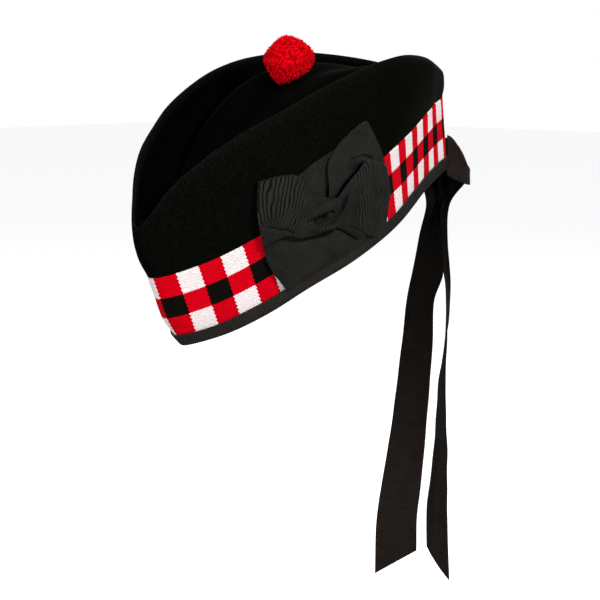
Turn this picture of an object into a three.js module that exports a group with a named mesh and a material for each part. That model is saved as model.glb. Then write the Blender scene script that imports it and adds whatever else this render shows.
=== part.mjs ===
// Glengarry: a boat-shaped felted wool cap with a diced band, a ribbon binding, a rosette
// on the wearer's left, a bow with two tails at the back and a woollen toorie on top.
// Millimetres. The front of the cap looks along -Y, the wearer's left is +X, +Z is up.
// The origin lies in the head opening, on the plane down the middle of the cap.
import * as THREE from 'three';
import { mergeVertices } from 'three/addons/utils/BufferGeometryUtils.js';

// Driving dimensions
const NOSE_DOWN = 24.8;        // degrees the cap is pitched, front low, as it is worn
const GAP = 0.3;               // clearance between touching pieces
const LEDGE_GAP = 0.5;         // between the top of the band and the felt over it
const FELT = 2.5;              // thickness of the felted wool
const BAND_HEIGHT = 40.5;      // three rows of dice
const BAND_THICKNESS = 2.0;    // knitted band
const BINDING_HEIGHT = 9.5;    // ribbon that shows below the band
const RIBBON = 1.0;            // thickness of a ribbon
const LIP = 4.5;               // half the thickness of the fold along each ridge
const STATIONS = 28;           // steps round half the cap

// Half of the head opening and the wall that stands on it, at equal steps of the girth from
// the front centre to the back centre. edge: how far the edge rises above the origin.
// lean: degrees the wall opens outward going up. belly: how far the felt bulges out between
// the band and the ridge. curl: how far the binding is drawn in at the edge.
const WALL_ROWS = table(['x', 'y', 'edge', 'lean', 'belly', 'curl'], [
  [0.0, -127.0, 2.0, 0.0, 3.0, 6.0],
  [21.2, -106.8, 1.5, 1.1, 1.5, 4.0],
  [39.5, -83.0, 5.0, 3.7, 2.5, 2.0],
  [57.4, -59.0, 12.0, 6.2, 3.5, 1.0],
  [68.4, -31.2, 15.0, 8.8, 4.0, 0.0],
  [70.0, -1.4, 15.5, 11.3, 4.0, 0.0],
  [62.0, 27.5, 13.3, 12.2, 4.0, 0.0],
  [48.4, 56.5, 9.8, 14.8, 4.0, 0.0],
  [34.9, 84.0, 6.5, 15.7, 3.0, 0.0],
  [19.1, 113.0, 0.7, 14.4, 1.5, 0.0],
  [0.0, 139.9, -6.8, 13.0, 1.0, 0.0],
]);

// The top of the cap at the same steps: the ridge where the side folds over, the valley
// inside it, the crest of the soft fold beside the middle, and the crease down the middle.
const TOP_ROWS = table(
  ['ridgeX', 'ridgeY', 'ridgeZ', 'valleyX', 'valleyZ', 'crestX', 'crestZ', 'creaseY', 'creaseZ'], [
    [0.0, -124.5, 86.0, 0.0, 87.2, 0.0, 87.4, -116.5, 87.0],
    [16.0, -102.5, 102.5, 8.0, 82.0, 4.5, 80.5, -97.0, 80.5],
    [28.5, -79.5, 111.5, 19.0, 80.5, 11.5, 84.0, -77.0, 82.5],
    [39.0, -56.5, 116.0, 28.5, 83.0, 18.0, 92.0, -55.0, 88.5],
    [49.0, -29.5, 118.0, 37.0, 87.5, 24.0, 102.5, -30.0, 96.5],
    [56.0, 2.0, 118.3, 43.0, 91.5, 27.5, 110.5, 0.0, 104.0],
    [59.5, 32.0, 115.9, 46.0, 93.5, 29.0, 111.0, 28.0, 104.5],
    [57.0, 61.4, 109.5, 44.0, 90.0, 27.5, 106.0, 54.5, 101.5],
    [48.5, 89.6, 99.0, 37.0, 81.5, 22.5, 94.5, 81.5, 91.5],
    [32.2, 120.7, 80.5, 23.0, 70.5, 12.0, 76.0, 109.5, 75.0],
    [0.0, 153.5, 54.0, 0.0, 58.5, 0.0, 59.5, 139.0, 59.0],
  ]);

// The tails, from the bow down, upright in space. turn: degrees the ribbon's width is turned
// from the wearer's left-right line. width: what the gathered ribbon takes up. cup: how far
// its middle stands behind its edges.
const TAIL_COLUMNS = ['x', 'y', 'z', 'turn', 'width', 'cup'];
const RIGHT_TAIL_ROWS = table(TAIL_COLUMNS, [
  [-2.0, 131.5, 49.0, 20, 8.0, 1.0],
  [-3.5, 130.4, 43.0, 20, 9.0, 1.5],
  [-6.0, 128.6, 38.5, 20, 22.0, 4.0],
  [-6.8, 125.8, 26.5, 5, 15.0, 4.5],
  [-8.7, 124.8, 7.0, 0, 21.5, 3.5],
  [-11.3, 124.3, -16.0, 5, 25.0, 2.0],
  [-15.2, 121.4, -35.0, -5, 25.5, 2.0],
  [-17.2, 120.9, -60.0, 2, 26.0, 1.5],
  [-18.8, 118.3, -90.0, 5, 26.5, 1.5],
  [-21.0, 114.6, -126.5, 12, 27.0, 1.0],
  [-22.6, 111.0, -153.0, 22, 27.0, 1.0],
  [-23.7, 107.5, -177.0, 32, 27.0, 0.5],
  [-23.9, 106.9, -204.2, 40, 27.0, 0.0],
]);
const LEFT_TAIL_ROWS = table(TAIL_COLUMNS, [
  [3.2, 133.6, 49.0, 100, 4.0, 0.5],
  [-1.0, 136.7, 41.0, 104, 7.0, 1.0],
  [-10.3, 136.4, 26.5, 112, 9.0, 1.5],
  [-10.6, 137.0, 3.0, 120, 12.0, 1.5],
  [-6.0, 136.4, -26.0, 126, 25.0, 1.0],
  [-4.0, 133.1, -58.0, 133, 26.0, 0.8],
  [-3.0, 127.8, -86.5, 141, 26.0, 0.8],
  [-2.3, 126.1, -110.5, 146, 26.0, 0.8],
  [-1.8, 125.1, -129.0, 151, 26.0, 1.0],
  [-1.8, 123.1, -152.0, 157, 26.0, 1.0],
  [-2.2, 122.0, -173.0, 163, 26.0, 1.0],
  [-2.0, 122.8, -204.5, 166, 26.0, 1.0],
]);
const TAIL_SLANT = { right: 15.8, left: 20.0 };   // one edge of the cut end hangs lower

// One loop of the bow at the back, from the knot out, round its tip and back to the knot:
// the ribbon's place in x and y, and its lower and upper edges in z. lean: how far the knot
// leans forward for each millimetre up.
const BOW_ROWS = table(['x', 'y', 'low', 'high'], [
  [5.3, 130.6, 49.5, 70.5],
  [8.0, 129.7, 46.5, 70.5],
  [11.0, 128.6, 44.5, 68.0],
  [14.0, 127.4, 43.0, 64.5],
  [17.0, 126.3, 42.0, 60.0],
  [19.5, 125.4, 41.5, 56.0],
  [21.0, 126.0, 41.5, 52.0],
  [20.2, 127.8, 41.5, 51.5],
  [16.5, 129.9, 43.0, 55.0],
  [11.0, 132.4, 46.0, 61.0],
  [5.3, 134.4, 50.0, 66.5],
]);
const BOW_KNOT = {
  x: 0, y: 130.8, z: 60.6, halfWidth: 5, halfDepth: 3, halfHeight: 11.5, lean: 0.2,
};

// The rosette's folded loops round its knot. angle: degrees from the back, over the top;
// reach: from the knot to the rim of the loop. puff: how high a loop swells, and lean: how
// much more of it towards the loop's last edge.
const fan = (rows) => table(['angle', 'reach'], rows);
const ROSETTE_LOOPS = {
  rosette_back_loop: { pleats: 7, puff: 4.2, lean: 0.2, rows: fan([
    [-54, 31], [-41, 41], [-29, 48], [-10, 52.5], [2, 51.2], [17, 51.5]]) },
  rosette_top_loop: { pleats: 4, puff: 5.5, lean: -0.3, rows: fan([
    [19, 51.5], [27, 52.5], [36, 56], [44, 58], [56, 50], [67, 44.5], [77, 42]]) },
  rosette_top_fold: { pleats: 5, puff: 2.0, lean: 0, rows: fan([
    [79, 41], [90, 38.5], [100, 37.5], [109, 37]]) },
  rosette_front_loop: { pleats: 9, puff: 4.6, lean: 0.1, rows: fan([
    [111, 37], [121, 47], [131, 56.5], [142, 55.5], [154, 54.6], [164, 54], [174, 54]]) },
  rosette_lower_fan: { pleats: 8, puff: 2.6, lean: -0.2, rows: fan([
    [176, 54], [190, 54], [206, 53.9], [215, 49.6], [226, 39.5], [240, 32.5], [262, 28], [285, 28],
    [304, 31]]) },
};
const ROSETTE_AT = 0.2021;       // share of the girth from the front centre
const ROSETTE_UP = 27.6;         // height of its knot up the wall
const KNOT_RADIUS = 6;

const TOORIE_RADIUS = 15.5;
const TOORIE_AT = 6.3;           // row of the top where the toorie is sewn
const TOORIE_LOCKS = 90;
const LOCK_DEPTH = 0.13;         // of the radius, from a lock's tip to the furrow beside it
const TOORIE_STITCH = 0.8;       // how far the stitching lets it stand off the felt

const COLOURS = { felt: 0x111210, dice: 0xc4122a, ribbon: 0x2a2826, tail: 0x1f1a18, wool: 0xe00018 };
const RAD = Math.PI / 180;
const UP = new THREE.Vector3(0, 0, 1);

function table(columns, rows) {
  return rows.map((row) => Object.fromEntries(columns.map((name, i) => [name, row[i]])));
}

function named(name, geometry, color, roughness) {
  const finish = new THREE.MeshStandardMaterial({ color, roughness, metalness: 0 });
  const mesh = new THREE.Mesh(geometry, finish);
  mesh.name = name;
  return mesh;
}

// A closed smooth curve through one point of each row and their mirror images.
function mirroredCurve(rows, pick) {
  const half = rows.map(pick);
  const mirrored = half.slice(1, -1).reverse().map((p) => new THREE.Vector3(-p.x, p.y, p.z));
  return new THREE.CatmullRomCurve3([...half, ...mirrored], true, 'catmullrom', 0.5);
}

const VALLEY_SHARE = 0.4;        // of the way from the ridge to the crease
const CREST_SHARE = 0.7;
const alongTop = (r, share) => r.ridgeY + (r.creaseY - r.ridgeY) * share;
const plan = mirroredCurve(WALL_ROWS, (r) => new THREE.Vector3(r.x, r.y, r.edge));
const slope = mirroredCurve(WALL_ROWS, (r) => new THREE.Vector3(0, r.lean * RAD, r.belly));
const tuck = mirroredCurve(WALL_ROWS, (r) => new THREE.Vector3(0, r.curl, 0));
const ridge = mirroredCurve(TOP_ROWS, (r) => new THREE.Vector3(r.ridgeX, r.ridgeY, r.ridgeZ));
const valley = mirroredCurve(TOP_ROWS,
  (r) => new THREE.Vector3(r.valleyX, alongTop(r, VALLEY_SHARE), r.valleyZ));
const crest = mirroredCurve(TOP_ROWS,
  (r) => new THREE.Vector3(r.crestX, alongTop(r, CREST_SHARE), r.crestZ));
const crease = mirroredCurve(TOP_ROWS, (r) => new THREE.Vector3(0, r.creaseY, r.creaseZ));

// The wall's own directions at t, the share of the girth from the front centre.
function wallFrame(t) {
  const base = plan.getPoint(t);
  const run = plan.getTangent(t);
  const out = new THREE.Vector3(run.y, -run.x, 0).normalize();
  const lean = slope.getPoint(t).y;
  const rise = out.clone().multiplyScalar(Math.sin(lean)).addScaledVector(UP, Math.cos(lean));
  const face = out.clone().multiplyScalar(Math.cos(lean)).addScaledVector(UP, -Math.sin(lean));
  base.z += BINDING_HEIGHT;
  return { base, out, rise, face };
}

// A point of the wall: height up the slope from the foot of the band, and depth outward.
function wallPoint(t, height, depth) {
  const { base, rise, face } = wallFrame(t);
  const drawnIn = tuck.getPoint(t).y * Math.min(0, height) / BINDING_HEIGHT;
  return base.addScaledVector(rise, height).addScaledVector(face, depth + drawnIn);
}

// The felt side above the band, up to the outside of the fold along the ridge. The fold is
// at its full thickness once the ridge is this far from the middle, and thins towards it.
const FULL_LIP_AT = 30;
const THIN_LIP = 0.3;
const LIP_OUTSIDE = { out: 0.7, up: -0.9 };
const LIP_INSIDE = { out: -0.8, up: -1.1 };

function feltSide(t) {
  const { out } = wallFrame(t);
  const belly = slope.getPoint(t).z;
  const start = wallPoint(t, BAND_HEIGHT + LEDGE_GAP, 0);
  const top = ridge.getPoint(t);
  const fold = LIP * THREE.MathUtils.lerp(THIN_LIP, 1, Math.min(1, Math.abs(top.x) / FULL_LIP_AT));
  const lipPoint = (side) => top.clone()
    .addScaledVector(out, side.out * fold).addScaledVector(UP, side.up * fold);
  const [outer, inner] = [lipPoint(LIP_OUTSIDE), lipPoint(LIP_INSIDE)];
  const at = (share) => start.clone().lerp(outer, share)
    .addScaledVector(out, belly * 4 * share * (1 - share));
  return { start, outer, top, inner, at };
}

// A point just off the outside of the cap, over the band or the felt above it.
function skinPoint(t, height, lift) {
  if (height <= BAND_HEIGHT) return wallPoint(t, height, lift);
  const side = feltSide(t);
  const share = (height - BAND_HEIGHT) / side.start.distanceTo(side.outer);
  return side.at(share).addScaledVector(wallFrame(t).face, lift);
}

function solid(points, index) {
  const geometry = new THREE.BufferGeometry();
  const positions = points.flatMap((p) => [p.x, p.y, p.z]);
  geometry.setAttribute('position', new THREE.Float32BufferAttribute(positions, 3));
  geometry.setIndex(index);
  const merged = mergeVertices(geometry, 1e-4);
  merged.computeVertexNormals();
  return merged;
}

// Faces between rows of points that each hold the same number of points. closed: the last
// point of a row joins the first; ring: the last row joins the first. Each four-sided face is
// split from its low corner in one row to its high corner in the next, so that the faces of
// two nested walls run side by side.
function loft(rows, { closed, ring }) {
  const count = rows[0].length;
  const index = [];
  for (let i = 0; i < rows.length - (ring ? 0 : 1); i += 1) {
    for (let j = 0; j < count - (closed ? 0 : 1); j += 1) {
      const next = ((i + 1) % rows.length) * count;
      const [a, b] = [i * count + j, i * count + ((j + 1) % count)];
      const [c, d] = [next + ((j + 1) % count), next + j];
      const rising = rows[i][j].z < rows[i][(j + 1) % count].z;
      index.push(...(rising ? [a, b, c, a, c, d] : [a, b, d, b, c, d]));
    }
  }
  return index;
}

// A solid along closed sections whose points pair off across the section, first with last.
function sweep(sections) {
  const count = sections[0].length;
  const last = (sections.length - 1) * count;
  const index = loft(sections, { closed: true, ring: false });
  for (let j = 0; j < count / 2 - 1; j += 1) {
    const [a, b, c, d] = [j, j + 1, count - 2 - j, count - 1 - j];
    index.push(a, c, b, a, d, c);
    index.push(last + a, last + b, last + c, last + a, last + c, last + d);
  }
  return solid(sections.flat(), index);
}

// A ring round the whole cap from a closed section of [depth, height] pairs.
function wallRing(section) {
  const around = 2 * STATIONS;
  const sections = Array.from({ length: around },
    (_, i) => section.map(([depth, height]) => wallPoint(i / around, height, depth)));
  return solid(sections.flat(), loft(sections, { closed: true, ring: true }));
}

// crown: one felted wool shell, tucked behind the band, folded over along both ridges.
const TUCK = BAND_THICKNESS + GAP;
const FOOT = RIBBON + GAP - BINDING_HEIGHT;
const WALL_HEIGHTS = [FOOT, 0, BAND_HEIGHT / 2, BAND_HEIGHT];
const PROFILE_STEPS = [3, 2, 2, 2, 2, 3, 3, 3];
const SIDE_SHARES = [0.35, 0.7]; // where the side's curve is fixed, of the way up the felt

function crownProfile(t) {
  const side = feltSide(t);
  const points = [side.start, ...SIDE_SHARES.map(side.at), side.outer, side.top, side.inner,
    valley.getPoint(t), crest.getPoint(t), crease.getPoint(t)];
  const curve = new THREE.CatmullRomCurve3(points, false, 'centripetal');
  const spans = points.length - 1;
  const shares = PROFILE_STEPS.flatMap((steps, span) => Array.from({ length: steps },
    (_, k) => (span + k / steps) / spans));
  return [...shares, 1].map((u) => curve.getPoint(u));
}

function crownShell() {
  const around = 2 * STATIONS;
  const skin = Array.from({ length: around }, (_, i) => crownProfile(i / around));
  const last = skin[0].length - 1;
  const at = (i, j) => skin[(i + around) % around][j];
  // Outward direction of the skin. The two halves meet along the crease, the last level.
  const outward = (i, j) => {
    const tip = j === last && i % STATIONS === 0;
    const row = tip ? j - 1 : j;
    const along = at(i + 1, row).clone().sub(at(i - 1, row));
    const beyond = j === last ? at(around - i, j - 1) : at(i, j + 1);
    const next = tip ? at(i + 1, j) : beyond;
    return along.cross(next.clone().sub(at(i, Math.max(0, j - 1)))).normalize();
  };
  const strips = skin.map((profile, i) => {
    const t = i / around;
    const lining = profile.map((p, j) => p.clone().addScaledVector(outward(i, j), -FELT));
    const heights = [...WALL_HEIGHTS.slice(0, -1), BAND_HEIGHT + LEDGE_GAP];
    const behind = heights.map((height) => wallPoint(t, height, -TUCK));
    const inside = heights.map((height) => wallPoint(t, height, -TUCK - FELT));
    return [...profile.slice().reverse(), ...behind.reverse(), ...inside, ...lining.slice(1)];
  });
  return solid(strips.flat(), loft(strips, { closed: false, ring: true }));
}

// diced_band: knitted tube outside the crown's foot.
function bandSection() {
  const outer = WALL_HEIGHTS.map((height) => [0, height]);
  const inner = WALL_HEIGHTS.map((height) => [-BAND_THICKNESS, height]);
  return [...inner, ...outer.reverse()];
}

// rim_binding: ribbon folded over the edges of band and crown.
function bindingSection() {
  const outer = GAP + RIBBON;
  const inner = -(TUCK + FELT + GAP + RIBBON);
  return [[inner, 0], [inner, RIBBON - BINDING_HEIGHT], [inner + RIBBON, -BINDING_HEIGHT],
    [outer - RIBBON, -BINDING_HEIGHT], [outer, RIBBON - BINDING_HEIGHT], [outer, 0],
    [GAP, 0], [GAP, RIBBON - BINDING_HEIGHT], [inner + RIBBON, RIBBON - BINDING_HEIGHT],
    [inner + RIBBON, 0]].reverse();
}

// rosette loops: ribbon folded into pleats that fan out from the knot, puffed at mid reach.
const LOOP_LIFT = 0.7;           // underside of a loop off the cap at the knot
const RIM_LIFT = 1.7;            // and how much further off it stands at its rim
const LOOP_EDGE = 1.6;           // thickness of a loop where it is flat
const PLEAT = 0.7;
const ROSETTE_GIRTH = 641;       // round the cap at the knot's height
const arch = (share, from, to) => Math.sin(Math.PI * THREE.MathUtils.lerp(from, to, share));

function rosettePoint(angle, radius, lift) {
  const along = radius * Math.cos(angle * RAD);
  const up = radius * Math.sin(angle * RAD);
  return skinPoint(ROSETTE_AT + along / ROSETTE_GIRTH, ROSETTE_UP + up, lift);
}

function rosetteLoop({ pleats, puff, lean, rows }) {
  const rim = rows.map((r) => new THREE.Vector3(r.angle, r.reach, 0));
  const outline = new THREE.CatmullRomCurve3(rim);
  const angleSteps = 2 * pleats;
  const radialSteps = 5;
  const sections = Array.from({ length: angleSteps + 1 }, (_, i) => {
    const share = i / angleSteps;
    const { x: angle, y: reach } = outline.getPoint(share);
    const ribbon = Array.from({ length: radialSteps + 1 }, (__, k) => {
      const out = k / radialSteps;
      const radius = KNOT_RADIUS + GAP + (reach - KNOT_RADIUS - GAP) * out;
      const base = LOOP_LIFT + RIM_LIFT * (radius / reach) ** 2;
      const swell = puff * arch(out, 0.15, 0.9) * arch(share, 0.12, 0.88);
      const pleat = PLEAT * (i % 2 ? 1 : -1) * arch(out, 0.1, 0.8);
      const top = base + LOOP_EDGE + swell * (1 + lean * (share - 0.5)) + pleat;
      return { angle, radius, base, top };
    });
    const top = ribbon.map((p) => rosettePoint(p.angle, p.radius, p.top));
    const bottom = ribbon.map((p) => rosettePoint(p.angle, p.radius, p.base));
    return [...top, ...bottom.reverse()];
  });
  return sweep(sections);
}

// rosette_knot: the wrapped middle, a low dome with a twist in it.
const KNOT_HEIGHT = 7.5;
const KNOT_TWIST = 30;           // degrees from its foot to its top
const KNOT_SPREAD = 60;          // degrees of the dome's curve

function rosetteKnot() {
  const rings = 5;
  const around = 12;
  const sections = Array.from({ length: rings }, (_, i) => {
    const rise = i / (rings - 1);
    const radius = KNOT_RADIUS * Math.cos(rise * KNOT_SPREAD * RAD);
    const lift = LOOP_LIFT + KNOT_HEIGHT * Math.sin(rise * Math.PI / 2);
    return Array.from({ length: around },
      (__, j) => rosettePoint(360 * (j + 0.5) / around + KNOT_TWIST * rise, radius, lift));
  });
  return sweep(sections);
}

// toorie: a ball of wool whose locks stand out from it as rounded tufts.
function toorie() {
  const ball = new THREE.IcosahedronGeometry(1, 7);
  ball.deleteAttribute('normal');
  ball.deleteAttribute('uv');
  const geometry = mergeVertices(ball, 1e-4);
  const goldenAngle = Math.PI * (3 - Math.sqrt(5));
  const locks = Array.from({ length: TOORIE_LOCKS }, (_, k) => {
    const z = 1 - (2 * k + 1) / TOORIE_LOCKS;
    const wide = Math.sqrt(1 - z * z);
    return new THREE.Vector3(wide * Math.cos(k * goldenAngle), wide * Math.sin(k * goldenAngle), z);
  });
  const lockAngle = Math.sqrt(4 * Math.PI / TOORIE_LOCKS);
  const seat = crease.getPoint(TOORIE_AT / (2 * (TOP_ROWS.length - 1)));
  const centre = seat.addScaledVector(UP, TOORIE_RADIUS + TOORIE_STITCH);
  const position = geometry.getAttribute('position');
  const point = new THREE.Vector3();
  for (let i = 0; i < position.count; i += 1) {
    point.fromBufferAttribute(position, i).normalize();
    const nearest = Math.min(...locks.map((lock) => point.angleTo(lock)));
    const tuft = Math.cos(Math.min(1, nearest / lockAngle) * Math.PI / 2);
    point.multiplyScalar(TOORIE_RADIUS * (1 - LOCK_DEPTH * (1 - tuft))).add(centre);
    position.setXYZ(i, point.x, point.y, point.z);
  }
  geometry.computeVertexNormals();
  return geometry;
}

// tails: flat ribbon that hangs from the bow, gathered and cupped at the top, cut on a slant.
function tail(rows, slant) {
  const place = new THREE.CatmullRomCurve3(rows.map((r) => new THREE.Vector3(r.x, r.y, r.z)));
  const form = new THREE.CatmullRomCurve3(
    rows.map((r) => new THREE.Vector3(r.turn, r.width, r.cup)));
  const steps = 2 * (rows.length - 1);
  const shares = [-1, -0.5, 0, 0.5, 1];
  return sweep(Array.from({ length: steps + 1 }, (_, i) => {
    const centre = place.getPoint(i / steps);
    const { x: turn, y: width, z: cup } = form.getPoint(i / steps);
    const wide = new THREE.Vector3(Math.cos(turn * RAD), Math.sin(turn * RAD), 0);
    const back = new THREE.Vector3(-wide.y, wide.x, 0);
    const cut = i === steps ? slant / 2 : 0;
    const edge = (share, depth) => centre.clone().addScaledVector(wide, share * width / 2)
      .addScaledVector(back, cup * (0.5 - share * share) + depth)
      .addScaledVector(UP, cut * share);
    const front = shares.map((share) => edge(share, -RIBBON / 2)).reverse();
    return [...front, ...shares.map((share) => edge(share, RIBBON / 2))];
  }));
}

// bow loops: ribbon standing on edge, out from the knot, round the tip and back.
function bowLoop() {
  const path = new THREE.CatmullRomCurve3(BOW_ROWS.map((r) => new THREE.Vector3(r.x, r.y, 0)));
  const edges = new THREE.CatmullRomCurve3(BOW_ROWS.map((r) => new THREE.Vector3(0, r.low, r.high)));
  const steps = 2 * (BOW_ROWS.length - 1);
  return sweep(Array.from({ length: steps + 1 }, (_, i) => {
    const place = path.getPoint(i / steps);
    const run = path.getTangent(i / steps);
    const outward = new THREE.Vector3(run.y, -run.x, 0).multiplyScalar(RIBBON / 2);
    const { y: low, z: high } = edges.getPoint(i / steps);
    const corner = (side, z) => place.clone().addScaledVector(outward, side).setZ(z);
    return [corner(1, high), corner(1, low), corner(-1, low), corner(-1, high)];
  }));
}

function mirrored(geometry) {
  const copy = geometry.clone().scale(-1, 1, 1);
  const index = copy.getIndex();
  for (let i = 0; i < index.count; i += 3) {
    const [b, c] = [index.getX(i + 1), index.getX(i + 2)];
    index.setX(i + 1, c);
    index.setX(i + 2, b);
  }
  return copy;
}

// bow_knot: the ribbon wrapped round the middle of the bow, a rounded block. Its slices give
// the place from the middle to either end, and how much smaller the block is there.
const KNOT_SLICES = [[-1, 0.86], [-0.8, 0.96], [0, 1], [0.8, 0.96], [1, 0.86]];
const KNOT_SQUARENESS = 0.7;     // 1 gives a round block, less a squarer one

function bowKnot() {
  const { x, y, z, halfWidth, halfDepth, halfHeight, lean } = BOW_KNOT;
  const around = 12;
  const squarish = (value) => Math.sign(value) * Math.abs(value) ** KNOT_SQUARENESS;
  return sweep(KNOT_SLICES.map(([share, scale]) => Array.from({ length: around }, (_, j) => {
    const angle = -(j + 0.5) / around * 2 * Math.PI;
    const up = halfHeight * scale * squarish(Math.cos(angle));
    const behind = halfDepth * scale * squarish(Math.sin(angle)) - lean * up;
    return new THREE.Vector3(x + share * halfWidth, y + behind, z + up);
  })));
}

const cap = new THREE.Group();
cap.rotation.x = NOSE_DOWN * RAD;
cap.add(named('crown', crownShell(), COLOURS.felt, 0.95));
cap.add(named('diced_band', wallRing(bandSection()), COLOURS.dice, 0.9));
cap.add(named('rim_binding', wallRing(bindingSection()), COLOURS.ribbon, 0.7));
Object.entries(ROSETTE_LOOPS).forEach(([name, loop]) => {
  cap.add(named(name, rosetteLoop(loop), COLOURS.ribbon, 0.7));
});
cap.add(named('rosette_knot', rosetteKnot(), COLOURS.ribbon, 0.7));
cap.add(named('toorie', toorie(), COLOURS.wool, 0.95));

const glengarry = new THREE.Group();
glengarry.add(cap);
glengarry.add(named('bow_loop_left', bowLoop(), COLOURS.ribbon, 0.7));
glengarry.add(named('bow_loop_right', mirrored(bowLoop()), COLOURS.ribbon, 0.7));
glengarry.add(named('bow_knot', bowKnot(), COLOURS.ribbon, 0.7));
glengarry.add(named('tail_left', tail(LEFT_TAIL_ROWS, TAIL_SLANT.left), COLOURS.tail, 0.7));
glengarry.add(named('tail_right', tail(RIGHT_TAIL_ROWS, TAIL_SLANT.right), COLOURS.tail, 0.7));

export default glengarry;
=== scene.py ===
import math

import bpy
import numpy as np
from mathutils import Matrix, Vector


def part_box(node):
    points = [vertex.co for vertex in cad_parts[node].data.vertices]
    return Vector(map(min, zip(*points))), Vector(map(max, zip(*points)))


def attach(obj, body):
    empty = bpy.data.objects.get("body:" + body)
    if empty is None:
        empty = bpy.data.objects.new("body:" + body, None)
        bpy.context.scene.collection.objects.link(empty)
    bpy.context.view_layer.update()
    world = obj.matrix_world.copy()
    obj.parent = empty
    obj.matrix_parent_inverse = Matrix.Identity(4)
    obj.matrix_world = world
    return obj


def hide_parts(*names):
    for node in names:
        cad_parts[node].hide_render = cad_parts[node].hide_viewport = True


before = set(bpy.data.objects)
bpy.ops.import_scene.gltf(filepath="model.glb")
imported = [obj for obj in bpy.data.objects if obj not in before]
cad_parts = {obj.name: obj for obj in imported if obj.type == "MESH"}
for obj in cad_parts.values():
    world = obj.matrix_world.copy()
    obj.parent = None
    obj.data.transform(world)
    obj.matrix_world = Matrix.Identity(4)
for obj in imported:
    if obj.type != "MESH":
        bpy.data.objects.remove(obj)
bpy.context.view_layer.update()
bpy.ops.object.select_all(action="DESELECT")

# ---- Crown ---------------------------------------------------------------------------
# One shell of thick felted wool, blocked to a boat shape: two ridges that fold over, and a
# soft fold between them that sinks to a crease down the middle. Its foot goes down behind
# the diced band, to which it is sewn.

# Millimetres, in the cap's own frame, before it is tipped nose down.
NOSE_DOWN = math.radians(24.8)
FELT = 2.5
BAND_HEIGHT = 40.5
BAND_THICKNESS = 2.0
BINDING_HEIGHT = 9.5
LEDGE_GAP = 0.5          # from the band's top edge up to the felt that bulges over it
SEWN_GAP = 0.3           # between cloths that are sewn flat together
TUCK_HEIGHT = 13.0       # below this height above the band's foot the front draws in
TUCK_CURVE = 1.3
LIP = 4.5                # the radius that each ridge is folded to
LIP_AT_ENDS = 0.3        # the share of it left at the front and back, where the ridges meet,
END_REACH = 30.0         # and how far from the middle a ridge is where it is whole again
UP = np.array([0.0, 0.0, 1.0])

# x, y and edge of the head opening, then how the wall leans, bellies and tucks in, at equal
# steps from the front centre to the back centre.
WALL_ROWS = [
    (0.0, -127.0, 2.0, 0.0, 3.0, 8.0),
    (21.2, -106.8, 1.5, 1.1, 1.5, 4.0),
    (39.5, -83.0, 5.0, 3.7, 2.5, 2.0),
    (57.4, -59.0, 12.0, 6.2, 3.5, 1.0),
    (68.4, -31.2, 15.0, 8.8, 4.0, 0.0),
    (70.0, -1.4, 15.5, 11.3, 4.0, 0.0),
    (62.0, 27.5, 13.3, 12.2, 4.0, 0.0),
    (48.4, 56.5, 9.8, 14.8, 4.0, 0.0),
    (34.9, 84.0, 6.5, 15.7, 3.0, 0.0),
    (19.1, 113.0, 0.7, 14.4, 1.5, 0.0),
    (0.0, 139.9, -6.8, 13.0, 1.0, 0.0),
]
# The top, at the same steps: ridge x, y, z; valley x, z; crest x, z; crease y, z.
TOP_ROWS = [
    (0.0, -124.5, 86.0, 0.0, 87.2, 0.0, 87.4, -116.5, 87.0),
    (16.0, -102.5, 102.5, 8.0, 82.0, 4.5, 80.5, -97.0, 80.5),
    (28.5, -79.5, 111.5, 19.0, 80.5, 11.5, 84.0, -77.0, 82.5),
    (39.0, -56.5, 116.0, 28.5, 83.0, 18.0, 92.0, -55.0, 88.5),
    (49.0, -29.5, 118.0, 37.0, 87.5, 24.0, 102.5, -30.0, 96.5),
    (56.0, 2.0, 118.3, 43.0, 91.5, 27.5, 110.5, 0.0, 104.0),
    (59.5, 32.0, 115.9, 46.0, 93.5, 29.0, 111.0, 28.0, 104.5),
    (57.0, 61.4, 109.5, 44.0, 90.0, 27.5, 106.0, 54.5, 101.5),
    (48.5, 89.6, 99.0, 37.0, 81.5, 22.5, 94.5, 81.5, 91.5),
    (32.2, 120.7, 80.5, 23.0, 70.5, 12.0, 76.0, 109.5, 75.0),
    (0.0, 153.5, 54.0, 0.0, 58.5, 0.0, 59.5, 139.0, 59.0),
]


def round_the_cap(rows):
    """The rows of half the cap, then their mirror images back to the front."""
    rows = np.array(rows, float)
    other = rows[-2:0:-1] * np.where(np.arange(rows.shape[1]) == 0, -1.0, 1.0)
    return np.vstack([rows, other])


def cubic(a, b, c, d, f):
    """A point between b and c on the smooth curve through a, b, c and d, at f from 0 to 1."""
    return 0.5 * (2 * b + (c - a) * f + (2 * a - 5 * b + 4 * c - d) * f**2
                  + (3 * b - a - 3 * c + d) * f**3)


def smooth_ring(rows, t):
    """The closed smooth curve through the rows, at t from 0 to 1."""
    count = len(rows)
    place = np.asarray(t, float) % 1.0 * count
    i = np.floor(place).astype(int)
    return cubic(*(rows[(i + k) % count] for k in (-1, 0, 1, 2)), (place - i)[..., None])


wall_ring = round_the_cap(WALL_ROWS)
ridge_ring = round_the_cap([row[:3] for row in TOP_ROWS])


def wall_directions(t):
    """Outward on the level, up the wall's slope and square to its face, at t."""
    step = 1e-4
    run = smooth_ring(wall_ring, t + step) - smooth_ring(wall_ring, t - step)
    out = np.stack([run[..., 1], -run[..., 0], 0 * run[..., 0]], -1)
    out /= np.linalg.norm(out, axis=-1, keepdims=True)
    lean = np.radians(smooth_ring(wall_ring, t)[..., 3:4])
    return out, out * np.sin(lean) + UP * np.cos(lean), out * np.cos(lean) - UP * np.sin(lean)


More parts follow.
